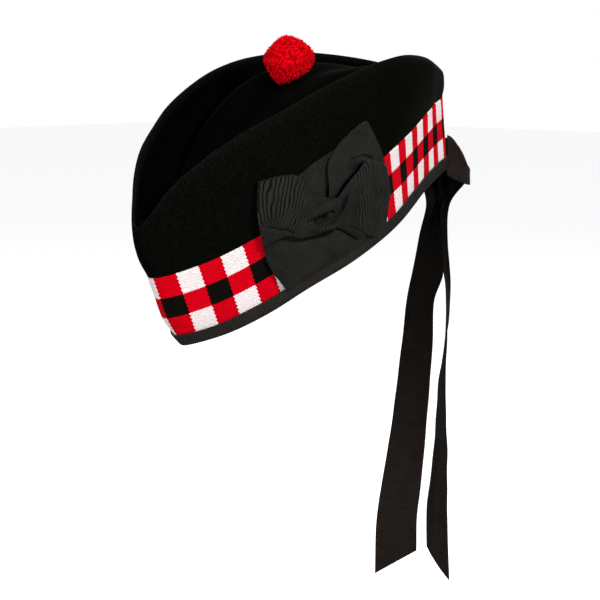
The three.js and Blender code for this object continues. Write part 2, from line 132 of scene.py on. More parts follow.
def wall_point(t, height, depth):
    """A point of the wall: height up its slope from the band's foot, and depth outward."""
    t, height, depth = np.broadcast_arrays(*(np.asarray(v, float) for v in (t, height, depth)))
    out, rise, face = wall_directions(t)
    row = smooth_ring(wall_ring, t)
    tucked = np.clip((TUCK_HEIGHT - height) / (TUCK_HEIGHT + BINDING_HEIGHT), 0, 1)
    drawn_in = -row[..., 5] * tucked ** TUCK_CURVE
    foot = row[..., :3] + UP * BINDING_HEIGHT
    return foot + rise * height[..., None] + face * (depth + drawn_in)[..., None]


def felt_side(t):
    """Where the felt starts above the band, the outside, top and inside of its ridge, the
    way out on the level, and how far its side bellies."""
    out = wall_directions(t)[0]
    top = smooth_ring(ridge_ring, t)
    from_middle = np.minimum(1, np.abs(top[..., :1]) / END_REACH)
    fold = LIP * (LIP_AT_ENDS + (1 - LIP_AT_ENDS) * from_middle)
    start = wall_point(t, BAND_HEIGHT + LEDGE_GAP, 0)
    # The fold is fuller inside than outside.
    outer = top + out * 0.7 * fold - UP * 0.9 * fold
    inner = top - out * 0.8 * fold - UP * 1.1 * fold
    return start, outer, top, inner, out, smooth_ring(wall_ring, t)[..., 4:5]


def side_point(start, outer, out, belly, share):
    """A point of the felt's outside, share of the way up from the band to the ridge."""
    return start + (outer - start) * share + out * belly * 4 * share * (1 - share)


def worn(points):
    """Points of the cap in millimetres, tipped nose down as it is worn, in metres."""
    x, y, z = np.moveaxis(np.asarray(points, float), -1, 0)
    c, s = math.cos(NOSE_DOWN), math.sin(NOSE_DOWN)
    return np.stack([x, y * c - z * s, y * s + z * c], -1) * 0.001


def ripple(points, size, seed):
    """A soft random swell from -1 to 1 whose bumps are about size across."""
    random = np.random.default_rng(seed)
    total = np.zeros(points.shape[:-1])
    for _ in range(12):
        way = random.normal(size=3)
        way *= 2 * math.pi / (size * random.uniform(0.8, 1.8)) / np.linalg.norm(way)
        total += np.sin(points @ way + random.uniform(0, 2 * math.pi))
    return total / 5


def cloth_mesh(name, points, cloth_mm, ring=False, look=1.0):
    """An object through a grid of points in metres, with the cloth's own millimetres as UV.
    ring: the last row joins the first, and cloth_mm has one row more than points.
    look: what the material reads at each point: how clearly ribs show, or how pale the felt is
    painted, a painted light on its ridges and painted shade in its valleys."""
    rows, columns = points.shape[:2]
    i, j = np.meshgrid(np.arange(rows if ring else rows - 1), np.arange(columns - 1),
                       indexing="ij")
    corners = [(i, j), (i + 1, j), (i + 1, j + 1), (i, j + 1)]
    faces = np.stack([(a % rows) * columns + b for a, b in corners], -1).reshape(-1, 4)
    mesh = bpy.data.meshes.new(name)
    mesh.from_pydata(points.reshape(-1, 3).tolist(), [], faces.tolist())
    kept = mesh.attributes.new("cloth_look", "FLOAT", "POINT")
    kept.data.foreach_set("value", np.broadcast_to(look, (rows, columns)).ravel())
    layer = mesh.uv_layers.new(name="cloth")
    layer.data.foreach_set("uv", np.stack([cloth_mm[a, b] for a, b in corners], 2).ravel())
    piece = bpy.data.objects.new(name, mesh)
    bpy.context.scene.collection.objects.link(piece)
    bpy.ops.object.select_all(action="DESELECT")
    bpy.context.view_layer.objects.active = piece
    piece.select_set(True)
    bpy.ops.object.mode_set(mode="EDIT")
    bpy.ops.mesh.select_all(action="SELECT")
    bpy.ops.mesh.remove_doubles(threshold=2e-6)
    bpy.ops.mesh.normals_make_consistent(inside=False)
    bpy.ops.object.mode_set(mode="OBJECT")
    bpy.ops.object.shade_smooth()
    return piece


def thicken(piece, thickness, offset):
    """Gives a sheet its thickness in metres. offset -1 is all inward, 0 is half each way."""
    wall = piece.modifiers.new("wall", "SOLIDIFY")
    wall.thickness = thickness
    wall.offset = offset
    bpy.context.view_layer.objects.active = piece
    bpy.ops.object.modifier_apply(modifier="wall")


def hex_colour(code):
    """An sRGB hex colour as linear RGBA."""
    parts = [int(code[k:k + 2], 16) / 255 for k in (1, 3, 5)]
    return [p / 12.92 if p <= 0.04045 else ((p + 0.055) / 1.055) ** 2.4 for p in parts] + [1.0]


def add_node(material, kind, inputs=None, **settings):
    """A shader node with its input values, the links into it and its settings. A node given
    as an input is linked by its first output."""
    tree = material.node_tree
    node = tree.nodes.new("ShaderNode" + kind)
    for key, value in settings.items():
        setattr(node, key, value)
    for key, value in (inputs or {}).items():
        if isinstance(value, bpy.types.Node):
            value = value.outputs[0]
        if isinstance(value, bpy.types.NodeSocket):
            tree.links.new(value, node.inputs[key])
        else:
            node.inputs[key].default_value = value
    return node


def new_material(name):
    """An empty node material."""
    material = bpy.data.materials.new(name)
    material.use_nodes = True
    material.node_tree.nodes.clear()
    return material


# Milled wool felt, dyed black: a dense nap of short fibres, so no gloss at all, a faint pale
# sheen painted into the colour where the surface turns away from view, and a slight
# unevenness from the milling.
felt = new_material("milled_wool_felt_black")
place = add_node(felt, "TexCoord")
clouds = add_node(felt, "TexNoise", {                   # milling clouds, 3 mm
    "Vector": place.outputs["Object"], "Scale": 300.0, "Detail": 4.0})
fibres = add_node(felt, "TexNoise", {                   # clumps of nap, 0.8 mm
    "Vector": place.outputs["Object"], "Scale": 1300.0, "Detail": 3.0})
mixed = add_node(felt, "Math", {0: clouds, 1: 0.12, 2: fibres}, operation="MULTIPLY_ADD")
shade = add_node(felt, "ValToRGB", {"Fac": mixed})
dark, light = shade.color_ramp.elements
dark.position, dark.color = 0.4, hex_colour("#010201")
light.position, light.color = 0.72, hex_colour("#090a08")
# Painted sheen: the colour turns pale where the surface turns away from view.
turned = add_node(felt, "LayerWeight", {"Blend": 0.5})
sheen_amount_painted = add_node(felt, "Math", {0: turned.outputs["Facing"], 1: 8.0}, operation="POWER")
felt_colour_with_painted_sheen = add_node(felt, "Mix", {
    "Factor": sheen_amount_painted, 6: shade, 7: hex_colour("#2c2d2a")}, data_type="RGBA")
# cloth_look scales the felt's colour: painted light along the ridges, painted shade in the
# valleys.
pale = add_node(felt, "Attribute", attribute_name="cloth_look")
felt_colour_lit_and_shaded = add_node(felt, "VectorMath", {
    0: felt_colour_with_painted_sheen.outputs[2], "Scale": pale.outputs["Fac"]}, operation="SCALE")
nap = add_node(felt, "Bump", {"Height": fibres, "Strength": 0.5, "Distance": 0.0004})
surface = add_node(felt, "BsdfPrincipled", {
    "Base Color": felt_colour_lit_and_shaded, "Roughness": 1.0, "Specular IOR Level": 0.0,
    "Sheen Weight": 0.002, "Sheen Roughness": 0.35, "Sheen Tint": hex_colour("#8f9094"),
    "Normal": nap})
add_node(felt, "OutputMaterial", {"Surface": surface})

# The outside of the shell, from the band over the ridge and down to the crease, at each step
# round the cap.
CROWN_STEPS = 280
SPAN_STEPS = [8, 8, 8, 6, 6, 8, 8, 8]
SIDE_SHARES = (0.35, 0.7)
VALLEY_SHARE = 0.4       # how far in from the ridge to the crease the valley and crest lie
CREST_SHARE = 0.7
SUNKEN_CREST = 7.0       # how far the soft fold has sunk on the wearer's left of the toorie
SUNKEN_AT = 0.3          # where round the cap, and how far to each side, as shares
SUNKEN_REACH = 0.08
around = np.arange(CROWN_STEPS) / CROWN_STEPS
start, outer, top, inner, out, belly = felt_side(around)
side = [side_point(start, outer, out, belly, share) for share in SIDE_SHARES]
valley_rows, crest_rows, crease_rows = [], [], []
for _, ridge_y, _, valley_x, valley_z, crest_x, crest_z, crease_y, crease_z in TOP_ROWS:
    valley_rows.append((valley_x, ridge_y + (crease_y - ridge_y) * VALLEY_SHARE, valley_z))
    crest_rows.append((crest_x, ridge_y + (crease_y - ridge_y) * CREST_SHARE, crest_z))
    crease_rows.append((0.0, crease_y, crease_z))
valley, crest, crease = (smooth_ring(round_the_cap(rows), around)
                         for rows in (valley_rows, crest_rows, crease_rows))
crest[:, 2] -= SUNKEN_CREST * np.exp(-((around - SUNKEN_AT) / SUNKEN_REACH) ** 2)
stations = np.stack([start, *side, outer, top, inner, valley, crest, crease], 1)


def centripetal(points, steps):
    """The smooth profile through points (count, spans + 1, 3), steps[k] points to span k."""
    ends = np.concatenate([2 * points[:, :1] - points[:, 1:2], points,
                           2 * points[:, -1:] - points[:, -2:-1]], 1)
    found = []
    for k, count in enumerate(steps):
        a, b, c, d = (ends[:, k + n] for n in range(4))
        ab, bc, cd = (np.sqrt(np.linalg.norm(q - p, axis=-1, keepdims=True)) + 1e-9
                      for p, q in ((a, b), (b, c), (c, d)))
        leave = ((b - a) / ab - (c - a) / (ab + bc) + (c - b) / bc) * bc
        reach = ((c - b) / bc - (d - b) / (bc + cd) + (d - c) / cd) * bc
        for f in np.arange(count) / count:
            found.append(b + leave * f + (3 * (c - b) - 2 * leave - reach) * f**2
                         + (2 * (b - c) + leave + reach) * f**3)
    return np.stack(found + [points[:, -1]], 1)


# The felt that goes down behind the band comes first, from its raw edge up.
FOOT_UP = 1.3            # how far above the binding's fold the raw edge ends
skin = centripetal(stations, SPAN_STEPS)
behind = [wall_point(around, height, -(BAND_THICKNESS + SEWN_GAP))
          for height in (FOOT_UP - BINDING_HEIGHT, 0, 10, 20, 30, BAND_HEIGHT + LEDGE_GAP)]
skin = np.concatenate([np.stack(behind, 1), skin], 1)
heights = np.linspace(0, 1, skin.shape[1])

# Felt is never quite even: a slow swell, which fades out where the band holds it flat.
SWELL = 0.5
SWELL_SIZE = 45.0
HELD_FLAT = 0.12
soft = np.sin(math.pi * np.clip((heights - HELD_FLAT) / (1 - HELD_FLAT), 0, 1)) ** 0.5
skin += out[:, None, :] * (SWELL * ripple(skin, SWELL_SIZE, 3) * soft)[..., None]
skin[:, -1, 0] = 0       # the two halves meet exactly in the crease

# The felt is painted paler along the lips of the ridges, a painted light, and darker in the
# valleys inside them, a painted shade.
# Rows: point across the shell from its foot to the crease, and how pale.
PAINTED_RIDGE_ROWS = [(27, 1.12), (33, 1.7), (36, 2.9), (38, 1.7), (42, 0.3), (52, 0.6)]
GIRTH = 623.0
HALF_ACROSS = 150.0      # of cloth, from the foot to the crease
turn = np.arange(CROWN_STEPS + 1) / CROWN_STEPS
felt_mm = np.stack(np.meshgrid(GIRTH * turn, HALF_ACROSS * heights, indexing="ij"), -1)
ridge_light_and_shade_painted = np.interp(np.arange(skin.shape[1]), *zip(*PAINTED_RIDGE_ROWS))
crown = cloth_mesh("crown_felt", worn(skin), felt_mm, ring=True, look=ridge_light_and_shade_painted)
thicken(crown, FELT * 0.001, -1)
bpy.ops.object.shade_smooth_by_angle(angle=math.radians(60))
crown.data.materials.append(felt)
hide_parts("crown")
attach(crown, "root")

# ---- Diced band ----------------------------------------------------------------------
# A tube of wool knitted in three rows of red, white and black dice, stretched round the
# outside of the crown's foot and sewn there. The stretching makes some columns wider.
DIE = 13.5
COLUMNS = 46
# Share of the girth at the left edge of each column that is not at its plain spacing.
COLUMN_EDGES = [
    (0.004, 0), (0.0295, 1), (0.0512, 2), (0.0755, 3), (0.0998, 4), (0.1215, 5),
    (0.296, 13), (0.317, 14), (0.337, 15), (0.359, 16), (0.377, 17), (0.3985, 18),
    (0.419, 19), (0.4386, 20), (0.458, 21), (0.475, 22), (0.4945, 23), (1.004, 46),
]
BAND_STEPS = 440
SEAM = 0.004             # share of the girth where the columns start
BAND_SWELL = 0.12
BAND_SWELL_SIZE = 16.0


def run_length(line):
    """How far along a line each of its points is."""
    return np.concatenate([[0], np.cumsum(np.linalg.norm(np.diff(line, axis=0), axis=1))])


# Where each step round the band falls in the count of columns.
band_t = np.arange(BAND_STEPS) / BAND_STEPS
dense = np.linspace(-0.1, 1.1, 4801)
foot_line = wall_point(dense, BAND_HEIGHT / 2, 0)
girth_mm = run_length(foot_line)
edge_shares, edge_columns = np.array(COLUMN_EDGES).T
edge_mm = np.interp(edge_shares, dense, girth_mm)
turn = np.arange(BAND_STEPS + 1) / BAND_STEPS
turn_mm = np.interp(np.where(turn < SEAM, turn + 1, turn), dense, girth_mm)
columns = np.interp(turn_mm, edge_mm, edge_columns)
columns = np.where((turn > 0.9) & (columns < COLUMNS / 2), columns + COLUMNS, columns)
columns[turn < SEAM] -= COLUMNS

# The knit's closed section, from its inner top corner down, under and up the outside: depth
# outward and height above the band's foot.
section = [(-BAND_THICKNESS, 40.0), (-BAND_THICKNESS, 20.0), (-BAND_THICKNESS, 0.0),
           (-BAND_THICKNESS, -8.2), (-1.0, -8.8), (0.0, -8.0)]
section += [(0.0, height) for height in np.linspace(-4.0, 39.9, 36)]
section += [(-0.25, 40.35), (-1.0, 40.6), (-1.75, 40.4), (-BAND_THICKNESS, 40.0)]
depth, height = np.array(section).T
points = wall_point(band_t[:, None], height[None], depth[None])
swell = BAND_SWELL * ripple(points, BAND_SWELL_SIZE, 5)
points += wall_directions(band_t)[2][:, None] * swell[..., None]
points[:, -1] = points[:, 0]
dice = np.stack(np.broadcast_arrays(columns[:, None], height[None] / DIE), -1)
band = cloth_mesh("diced_band_knit", worn(points), dice, ring=True)
bpy.ops.object.shade_smooth_by_angle(angle=math.radians(60))

# Plain knitted wool in three colours, matte and slightly hairy. One stitch is 1.35 mm each
# way, drawn a little coarser than the real fine gauge so that it shows, and the edges of the
# dice step with the V of the stitches.
STITCHES = 10.0          # to a die, each way
TOOTH = 0.055            # how far, in dice, every other pair of courses steps sideways
knit = new_material("plain_knit_wool_diced")
sett = add_node(knit, "UVMap", uv_map="cloth")
axes = add_node(knit, "SeparateXYZ", {"Vector": sett})
along, up = axes.outputs["X"], axes.outputs["Y"]
wales = add_node(knit, "Math", {0: along, 1: STITCHES}, operation="MULTIPLY")
within = add_node(knit, "Math", {0: wales}, operation="FRACT")
from_middle = add_node(knit, "Math", {0: within, 1: 0.5}, operation="SUBTRACT")
leg = add_node(knit, "Math", {0: from_middle}, operation="ABSOLUTE")
courses = add_node(knit, "Math", {0: up, 1: STITCHES, 2: leg}, operation="MULTIPLY_ADD")
course = add_node(knit, "Math", {0: courses}, operation="FLOOR")
rows_up = add_node(knit, "Math", {0: course, 1: STITCHES}, operation="DIVIDE")
line = add_node(knit, "Math", {0: rows_up}, operation="FLOOR")
pairs = add_node(knit, "Math", {0: up, 1: STITCHES / 2}, operation="MULTIPLY")
step = add_node(knit, "Math", {0: pairs}, operation="FRACT")
stepped = add_node(knit, "Math", {0: step, 1: TOOTH, 2: along}, operation="MULTIPLY_ADD")
column = add_node(knit, "Math", {0: stepped}, operation="FLOOR")
white_column = add_node(knit, "Math", {0: column, 1: 2.0}, operation="FLOORED_MODULO")
middle = add_node(knit, "Math", {0: line, 1: 1.0, 2: 0.5}, operation="COMPARE")
outer_dice = add_node(knit, "Mix", {
    "Factor": white_column, 6: hex_colour("#c40014"), 7: hex_colour("#e6dada")},
    data_type="RGBA")
middle_dice = add_node(knit, "Mix", {
    "Factor": white_column, 6: hex_colour("#0c0b08"), 7: hex_colour("#c40014")},
    data_type="RGBA")
dyed = add_node(knit, "Mix", {
    "Factor": middle, 6: outer_dice.outputs[2], 7: middle_dice.outputs[2]}, data_type="RGBA")
place = add_node(knit, "TexCoord")
fuzz = add_node(knit, "TexNoise", {                     # clumps of hair, 1 mm
    "Vector": place.outputs["Object"], "Scale": 900.0, "Detail": 3.0})
in_course = add_node(knit, "Math", {0: courses}, operation="FRACT")
course_turn = add_node(knit, "Math", {0: in_course, 1: math.pi}, operation="MULTIPLY")
course_round = add_node(knit, "Math", {0: course_turn}, operation="SINE")
wale_turn = add_node(knit, "Math", {0: wales, 1: 2 * math.pi}, operation="MULTIPLY")
wale_wave = add_node(knit, "Math", {0: wale_turn}, operation="SINE")
plait = add_node(knit, "Math", {0: wale_wave}, operation="ABSOLUTE")
raised = add_node(knit, "Math", {0: plait, 1: 0.25}, operation="ADD")
stitch = add_node(knit, "Math", {0: course_round, 1: raised}, operation="MULTIPLY")
# Painted shade: the colour is darker in the hollows between the stitches and paler on their tops.
depth_shade = add_node(knit, "MapRange", {
    "Value": stitch, "To Min": 0.76, "To Max": 1.1})
fuzz_shade = add_node(knit, "MapRange", {
    "Value": fuzz, "From Min": 0.3, "From Max": 0.7, "To Min": 0.9, "To Max": 1.08})
shading = add_node(knit, "Math", {0: depth_shade, 1: fuzz_shade}, operation="MULTIPLY")
yarn = add_node(knit, "VectorMath", {0: dyed.outputs[2], "Scale": shading}, operation="SCALE")
hairy = add_node(knit, "Math", {0: fuzz, 1: 0.4, 2: stitch}, operation="MULTIPLY_ADD")
relief = add_node(knit, "Bump", {
    "Height": hairy, "Strength": 0.7, "Distance": 0.0004})
surface = add_node(knit, "BsdfPrincipled", {
    "Base Color": yarn, "Roughness": 0.95, "Specular IOR Level": 0.01,
    "Sheen Weight": 0.004, "Sheen Roughness": 0.5, "Normal": relief})
add_node(knit, "OutputMaterial", {"Surface": surface})
band.data.materials.append(knit)
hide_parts("diced_band")
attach(band, "root")

# ---- Rim binding ---------------------------------------------------------------------
# Black grosgrain ribbon folded over the raw edges of band and crown and stitched through.
# Its ribs cross the ribbon, leaning a little where it was eased round the edge.
RIBBON = 1.0
RIB = 1.5                # the real ribs are 0.9 mm apart, drawn coarser so that they show
SLANT = 0.5              # how far the ribs lean, sideways for each step up
RIB_RISE = 0.25
EASE = 0.35              # how far the ribbon's edge wanders up and down,
SLACK = 0.12             # and in and out
WANDER_SIZE = 30.0
RIBS_ROUND = 416
STEPS_A_RIB = 4


def ribs(along_mm, pitch):
    """The height of a row of rounded ribs, from 0 in the furrows to 1."""
    return np.abs(np.sin(math.pi * along_mm / pitch)) ** 0.7


outside = SEWN_GAP + RIBBON
inside = -(BAND_THICKNESS + SEWN_GAP + FELT + SEWN_GAP + RIBBON)
bind_steps = RIBS_ROUND * STEPS_A_RIB
bind_t = np.arange(bind_steps) / bind_steps
# The folded ribbon's closed section, from its inner top edge down, under and up: depth
# outward and height above the band's foot.
section = [(inside + 0.9, -0.1), (inside + 0.1, -0.1), (inside, -3.0), (inside, -7.5),
           (inside + 0.6, -9.0), (inside + 2.0, -9.5), (outside - 2.0, -9.5),
           (outside - 0.6, -9.1), (outside - 0.1, -8.2), (outside, -6.5), (outside, -4.5),
           (outside, -2.5), (outside - 0.05, -0.8), (outside - 0.25, -0.2),
           (outside - 0.65, -0.1), (outside - 0.95, -0.3), (outside - 0.95, -8.0),
           (inside + 1.0, -8.4), (inside + 0.9, -0.1)]
depth, height = np.array(section).T
rib = ribs(np.arange(bind_steps)[:, None] / STEPS_A_RIB + 0.125
           - SLANT * height[None] / RIB, 1.0)
wander = ripple(wall_point(bind_t, 0, 0), WANDER_SIZE, 8)[:, None]
show = (height[None] > -9.2) & (depth[None] > 0.5)       # ribs stand on the outside alone
points = wall_point(bind_t[:, None], height[None] + EASE * wander * (height[None] > -2),
                    depth[None] + RIB_RISE * rib * show + SLACK * wander * show)
points[:, -1] = points[:, 0]
wrap = run_length(np.array(section))
turn = np.arange(bind_steps + 1) / bind_steps
binding_mm = np.stack(np.meshgrid(RIBS_ROUND * RIB * turn, wrap, indexing="ij"), -1)
binding_mm[..., 0] -= SLANT * height
binding = cloth_mesh("rim_binding_ribbon", worn(points), binding_mm, ring=True)
bpy.ops.object.shade_smooth_by_angle(angle=math.radians(60))

# Grosgrain: a close ribbon of black rayon warp over thick cotton weft, which makes ribs
# straight across it. Low sheen. The colour is painted dark in the furrows between the ribs,
# a painted shade, and pale on their tops, a painted highlight, and paler in worn patches.
THREAD = 0.5             # millimetres from warp thread to warp thread
grosgrain = new_material("grosgrain_black")
cloth = add_node(grosgrain, "UVMap", uv_map="cloth")
axes = add_node(grosgrain, "SeparateXYZ", {"Vector": cloth})
rib_turn = add_node(grosgrain, "Math", {0: axes.outputs["X"], 1: math.pi / RIB},
                    operation="MULTIPLY")
rib_sine = add_node(grosgrain, "Math", {0: rib_turn}, operation="SINE")
rib_wave = add_node(grosgrain, "Math", {0: rib_sine}, operation="ABSOLUTE")
thread_turn = add_node(grosgrain, "Math", {
    0: axes.outputs["Y"], 1: 2 * math.pi / THREAD}, operation="MULTIPLY")
thread = add_node(grosgrain, "Math", {0: thread_turn}, operation="SINE")
place = add_node(grosgrain, "TexCoord")
wear = add_node(grosgrain, "TexNoise", {                # worn patches, 8 mm
    "Vector": place.outputs["Object"], "Scale": 120.0, "Detail": 5.0})
clear = add_node(grosgrain, "Attribute", attribute_name="cloth_look")
from_mean = add_node(grosgrain, "Math", {0: rib_wave, 1: 0.7}, operation="SUBTRACT")
shown = add_node(grosgrain, "Math", {
    0: from_mean, 1: clear.outputs["Fac"], 2: 0.7}, operation="MULTIPLY_ADD")
rubbing = add_node(grosgrain, "Math", {0: wear, 1: 0.4}, operation="MULTIPLY")
rib_shade_and_wear = add_node(grosgrain, "Math", {0: shown, 1: 0.8, 2: rubbing}, operation="MULTIPLY_ADD")
# Painted shade in the furrows and painted highlight on the rib tops, with worn patches paler.
shade = add_node(grosgrain, "ValToRGB", {"Fac": rib_shade_and_wear})
dark, light = shade.color_ramp.elements
dark.position, dark.color = 0.5, hex_colour("#040403")
light.position, light.color = 0.95, hex_colour("#20211e")
woven = add_node(grosgrain, "Math", {0: thread, 1: 0.2, 2: rib_wave}, operation="MULTIPLY_ADD")
relief = add_node(grosgrain, "Bump", {
    "Height": woven, "Strength": 0.5, "Distance": 0.00025})
surface = add_node(grosgrain, "BsdfPrincipled", {
    "Base Color": shade, "Roughness": 0.6, "Specular IOR Level": 0.03,
    "Sheen Weight": 0.002, "Sheen Roughness": 0.4, "Normal": relief})
add_node(grosgrain, "OutputMaterial", {"Surface": surface})


def recoloured_grosgrain(name, dark, light):
    """The same ribbon in another shade, from its furrows' colour to its ribs'."""
    copy = grosgrain.copy()
    copy.name = name
    shade = next(node for node in copy.node_tree.nodes if node.type == "VALTORGB")
    for stop, colour in zip(shade.color_ramp.elements, (dark, light)):
        stop.color = hex_colour(colour)
    return copy


# Round the edge the ribbon is rubbed a little paler and browner by wear.
edging = recoloured_grosgrain("grosgrain_edging_rubbed", "#080706", "#2d2a27")
binding.data.materials.append(edging)
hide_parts("rim_binding")
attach(binding, "root")

# ---- Rosette -------------------------------------------------------------------------
# Wide grosgrain ribbon folded into loops on a small black felt patch and gathered under a
# twisted knot, sewn over the band on the wearer's left.

# A place on it is millimetres from the knot: along towards the back of the cap, up its side,
# and lift off its surface.
ROSETTE_AT = 0.2021      # the knot's share of the way round, and its height above the band's foot
ROSETTE_UP = 27.6
ROSETTE_GIRTH = 641.0
RIBBON_THICKNESS = 0.7
LEAST_LIFT = 1.9         # the loops lie at least this far off, clear of the patch
ROLLED_SHARE = 0.07      # the share of a ribbon's width that a rolled edge takes
LONG_WAVES, SHORT_WAVES = 17.0, 6.5      # how long the waves are in which the ribs stray
SHORT_SHARE = 0.45                       # how far they stray in the short ones, as a share
CLEAR_SIZE = 9.0         # the size of the places where the ribs stand more clearly
PUCKER = 0.45            # how deep the ribbon puckers, and how broadly
PUCKER_SIZE = 15.0


def smooth_line(points, shares):
    """The open smooth curve through the points, at shares from 0 to 1 of its spans."""
    points = np.asarray(points, float)
    ends = np.vstack([2 * points[:1] - points[1:2], points, 2 * points[-1:] - points[-2:-1]])
    place = np.clip(np.asarray(shares, float), 0, 1) * (len(points) - 1)
    i = np.minimum(np.floor(place).astype(int), len(points) - 2)
    return cubic(*(ends[i + k] for k in range(4)), (place - i)[..., None])


def skin_point(t, height, lift):
    """A point just off the outside of the cap, over the band or the felt above it."""
    t, height, lift = np.broadcast_arrays(*(np.asarray(v, float) for v in (t, height, lift)))
    start, outer, _, _, out, belly = felt_side(t)
    share = ((height - BAND_HEIGHT) / np.linalg.norm(outer - start, axis=-1))[..., None]
    side = side_point(start, outer, out, belly, share)
    side += wall_directions(t)[2] * lift[..., None]
    return np.where((height > BAND_HEIGHT)[..., None], side, wall_point(t, height, lift))


def rosette_place(along, up, lift):
    """A point over the cap, in metres, from its place on the rosette."""
    return worn(skin_point(ROSETTE_AT + along / ROSETTE_GIRTH, ROSETTE_UP + up, lift))


def pressed(along, up, line, half_width):
    """How deep a crease is pressed in: 1 along its line, falling away to each side."""
    nearest = np.full(along.shape, 99.0)
    for (x0, y0), (x1, y1) in zip(line, line[1:]):
        run = np.clip(((along - x0) * (x1 - x0) + (up - y0) * (y1 - y0))
                      / ((x1 - x0) ** 2 + (y1 - y0) ** 2), 0, 1)
        nearest = np.minimum(nearest, np.hypot(along - x0 - run * (x1 - x0),
                                               up - y0 - run * (y1 - y0)))
    return np.exp(-(nearest / half_width) ** 2)


def rosette_ribbon(name, rows, across_ribs, pitch, rib_height, wander=0.0, fade=None, pit=None,
                   rolled=0.0, fold_back=0.0, creases=(), seed=1, steps=120, across=60):
    """A gathered ribbon. Each of its rows, from the knot to the tip, has
    along and up of its low edge and of its high edge, how far its middle bulges along and up,
    and the lift of its low edge, middle and high edge.
    across_ribs: the distance across the ribs, from along and up. pitch and wander: how far
    apart they are and how far they stray. fade: the share of rib_height that they keep, from
    along and up. pit: along, up, radius and depth of a hollow. rolled: how far the high edge
    rolls down. fold_back: the share of the loop that shows again under its tip. creases:
    lines pressed in, each with its depth and half width."""
    (low_along, low_up, high_along, high_up, bulge_along, bulge_up, low_lift, middle_lift,
     high_lift) = smooth_line(rows, np.linspace(0, 1, steps)).T[..., None]
    q = np.linspace(0, 1, across)[None]                  # from the low edge to the high edge
    arch = 4 * q * (1 - q)
    along = low_along * (1 - q) + high_along * q + bulge_along * arch
    up = low_up * (1 - q) + high_up * q + bulge_up * arch
    lift = (low_lift * (1 - q) * (1 - 2 * q) + middle_lift * arch
            + high_lift * q * (2 * q - 1))
    place = np.stack([along, up, 0 * up], -1)
    # The ribs stray in long waves and short ones, and stand more clearly here than there.
    stray = ripple(place, LONG_WAVES, seed) + SHORT_SHARE * ripple(place, SHORT_WAVES, seed + 50)
    ribs_mm = across_ribs(along, up) + wander * stray
    keep = 1.0 if fade is None else fade(along, up)
    keep = np.clip(keep * (0.8 + 0.3 * ripple(place, CLEAR_SIZE, seed + 90)), 0, 1.2)
    lift = lift + rib_height * keep * (ribs(ribs_mm, pitch) - 0.6)
    lift = lift + PUCKER * ripple(place, PUCKER_SIZE, seed + 20)
    if pit:
        pit_along, pit_up, radius, depth = pit
        away = np.hypot(along - pit_along, up - pit_up) / radius
        lift = lift - depth * np.exp(-away**4)
    for line, depth, half_width in creases:
        lift = lift - depth * pressed(along, up, line, half_width)
    lift = lift - rolled * np.clip(1 - (1 - q) / ROLLED_SHARE, 0, 1) ** 2
    points = rosette_place(along, up, np.maximum(lift, LEAST_LIFT))
    length = np.linalg.norm(np.diff(points, axis=0), axis=-1).sum(0).mean()
    width = np.linalg.norm(np.diff(points, axis=1), axis=-1).sum(1).mean()
    uv = np.stack([ribs_mm * RIB / pitch, q * width * 1000 + 0 * ribs_mm], -1)
    if fold_back:
        # Round the tip and back under the loop, falling away from it.
        count = int(steps * fold_back)
        under = slice(steps - 2, steps - 2 - count, -1)
        drop = np.linspace(1.0, 2.2, count)[:, None]
        tip = rosette_place(along[-1:] + (along[-1:] - along[-4:-3]) * 0.3,
                            up[-1:] + (up[-1:] - up[-4:-3]) * 0.3,
                            np.maximum(lift[-1:] - 0.7, 1.4))
        back = rosette_place(along[under], up[under], np.maximum(lift[under] - drop, 1.1))
        points = np.concatenate([points, tip, back])
        keep = np.concatenate([keep, keep[-1:], keep[under]])
        uv = np.concatenate([uv, uv[-1:] + [0.6, 0],
                             uv[under] * [-1, 1] + 2 * uv[-1:] * [1, 0]])
        length *= 1 + fold_back
    piece = cloth_mesh(name, points, uv, look=keep)
    thicken(piece, RIBBON_THICKNESS * 0.001, 0)
    piece.data.materials.append(grosgrain)
    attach(piece, "root")
    return piece


# The patch that the loops are sewn to: an oval of the crown's felt, which shows only as black
# in the gaps between them. Its felt is painted darker than the crown's, a painted shade under the
# loops.
PATCH_ACROSS, PATCH_UP = 30.0, 25.0
PATCH_MIDDLE = (-2.0, 4.0)
PATCH_LIFT = 1.0         # off the cap at its edge, and how much more in the middle
PATCH_CROWN = 0.1
PATCH_THICKNESS = 0.8
turn = np.linspace(0, 2 * math.pi, 97)[:, None]
reach = np.linspace(0, 1, 12)[None]
along = PATCH_MIDDLE[0] + PATCH_ACROSS * reach * np.cos(turn)
up = PATCH_MIDDLE[1] + PATCH_UP * reach * np.sin(turn)
points = rosette_place(along, up, PATCH_LIFT + PATCH_CROWN * (1 - reach) + 0 * turn)
points[-1] = points[0]
# look=0.5 paints the patch's felt darker, a painted shade in the gaps under the loops.
patch = cloth_mesh("rosette_patch_felt", points, np.stack([along, up], -1), look=0.5)
thicken(patch, PATCH_THICKNESS * 0.001, 0)
patch.data.materials.append(felt)
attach(patch, "root")


def close_ends(piece):
    """Fills the open ends of a tube."""
    bpy.context.view_layer.objects.active = piece
    bpy.ops.object.mode_set(mode="EDIT")
    bpy.ops.mesh.select_all(action="DESELECT")
    bpy.ops.mesh.select_non_manifold()
    bpy.ops.mesh.fill_holes(sides=0)
    bpy.ops.mesh.select_all(action="SELECT")
    bpy.ops.mesh.normals_make_consistent(inside=False)
    bpy.ops.object.mode_set(mode="OBJECT")


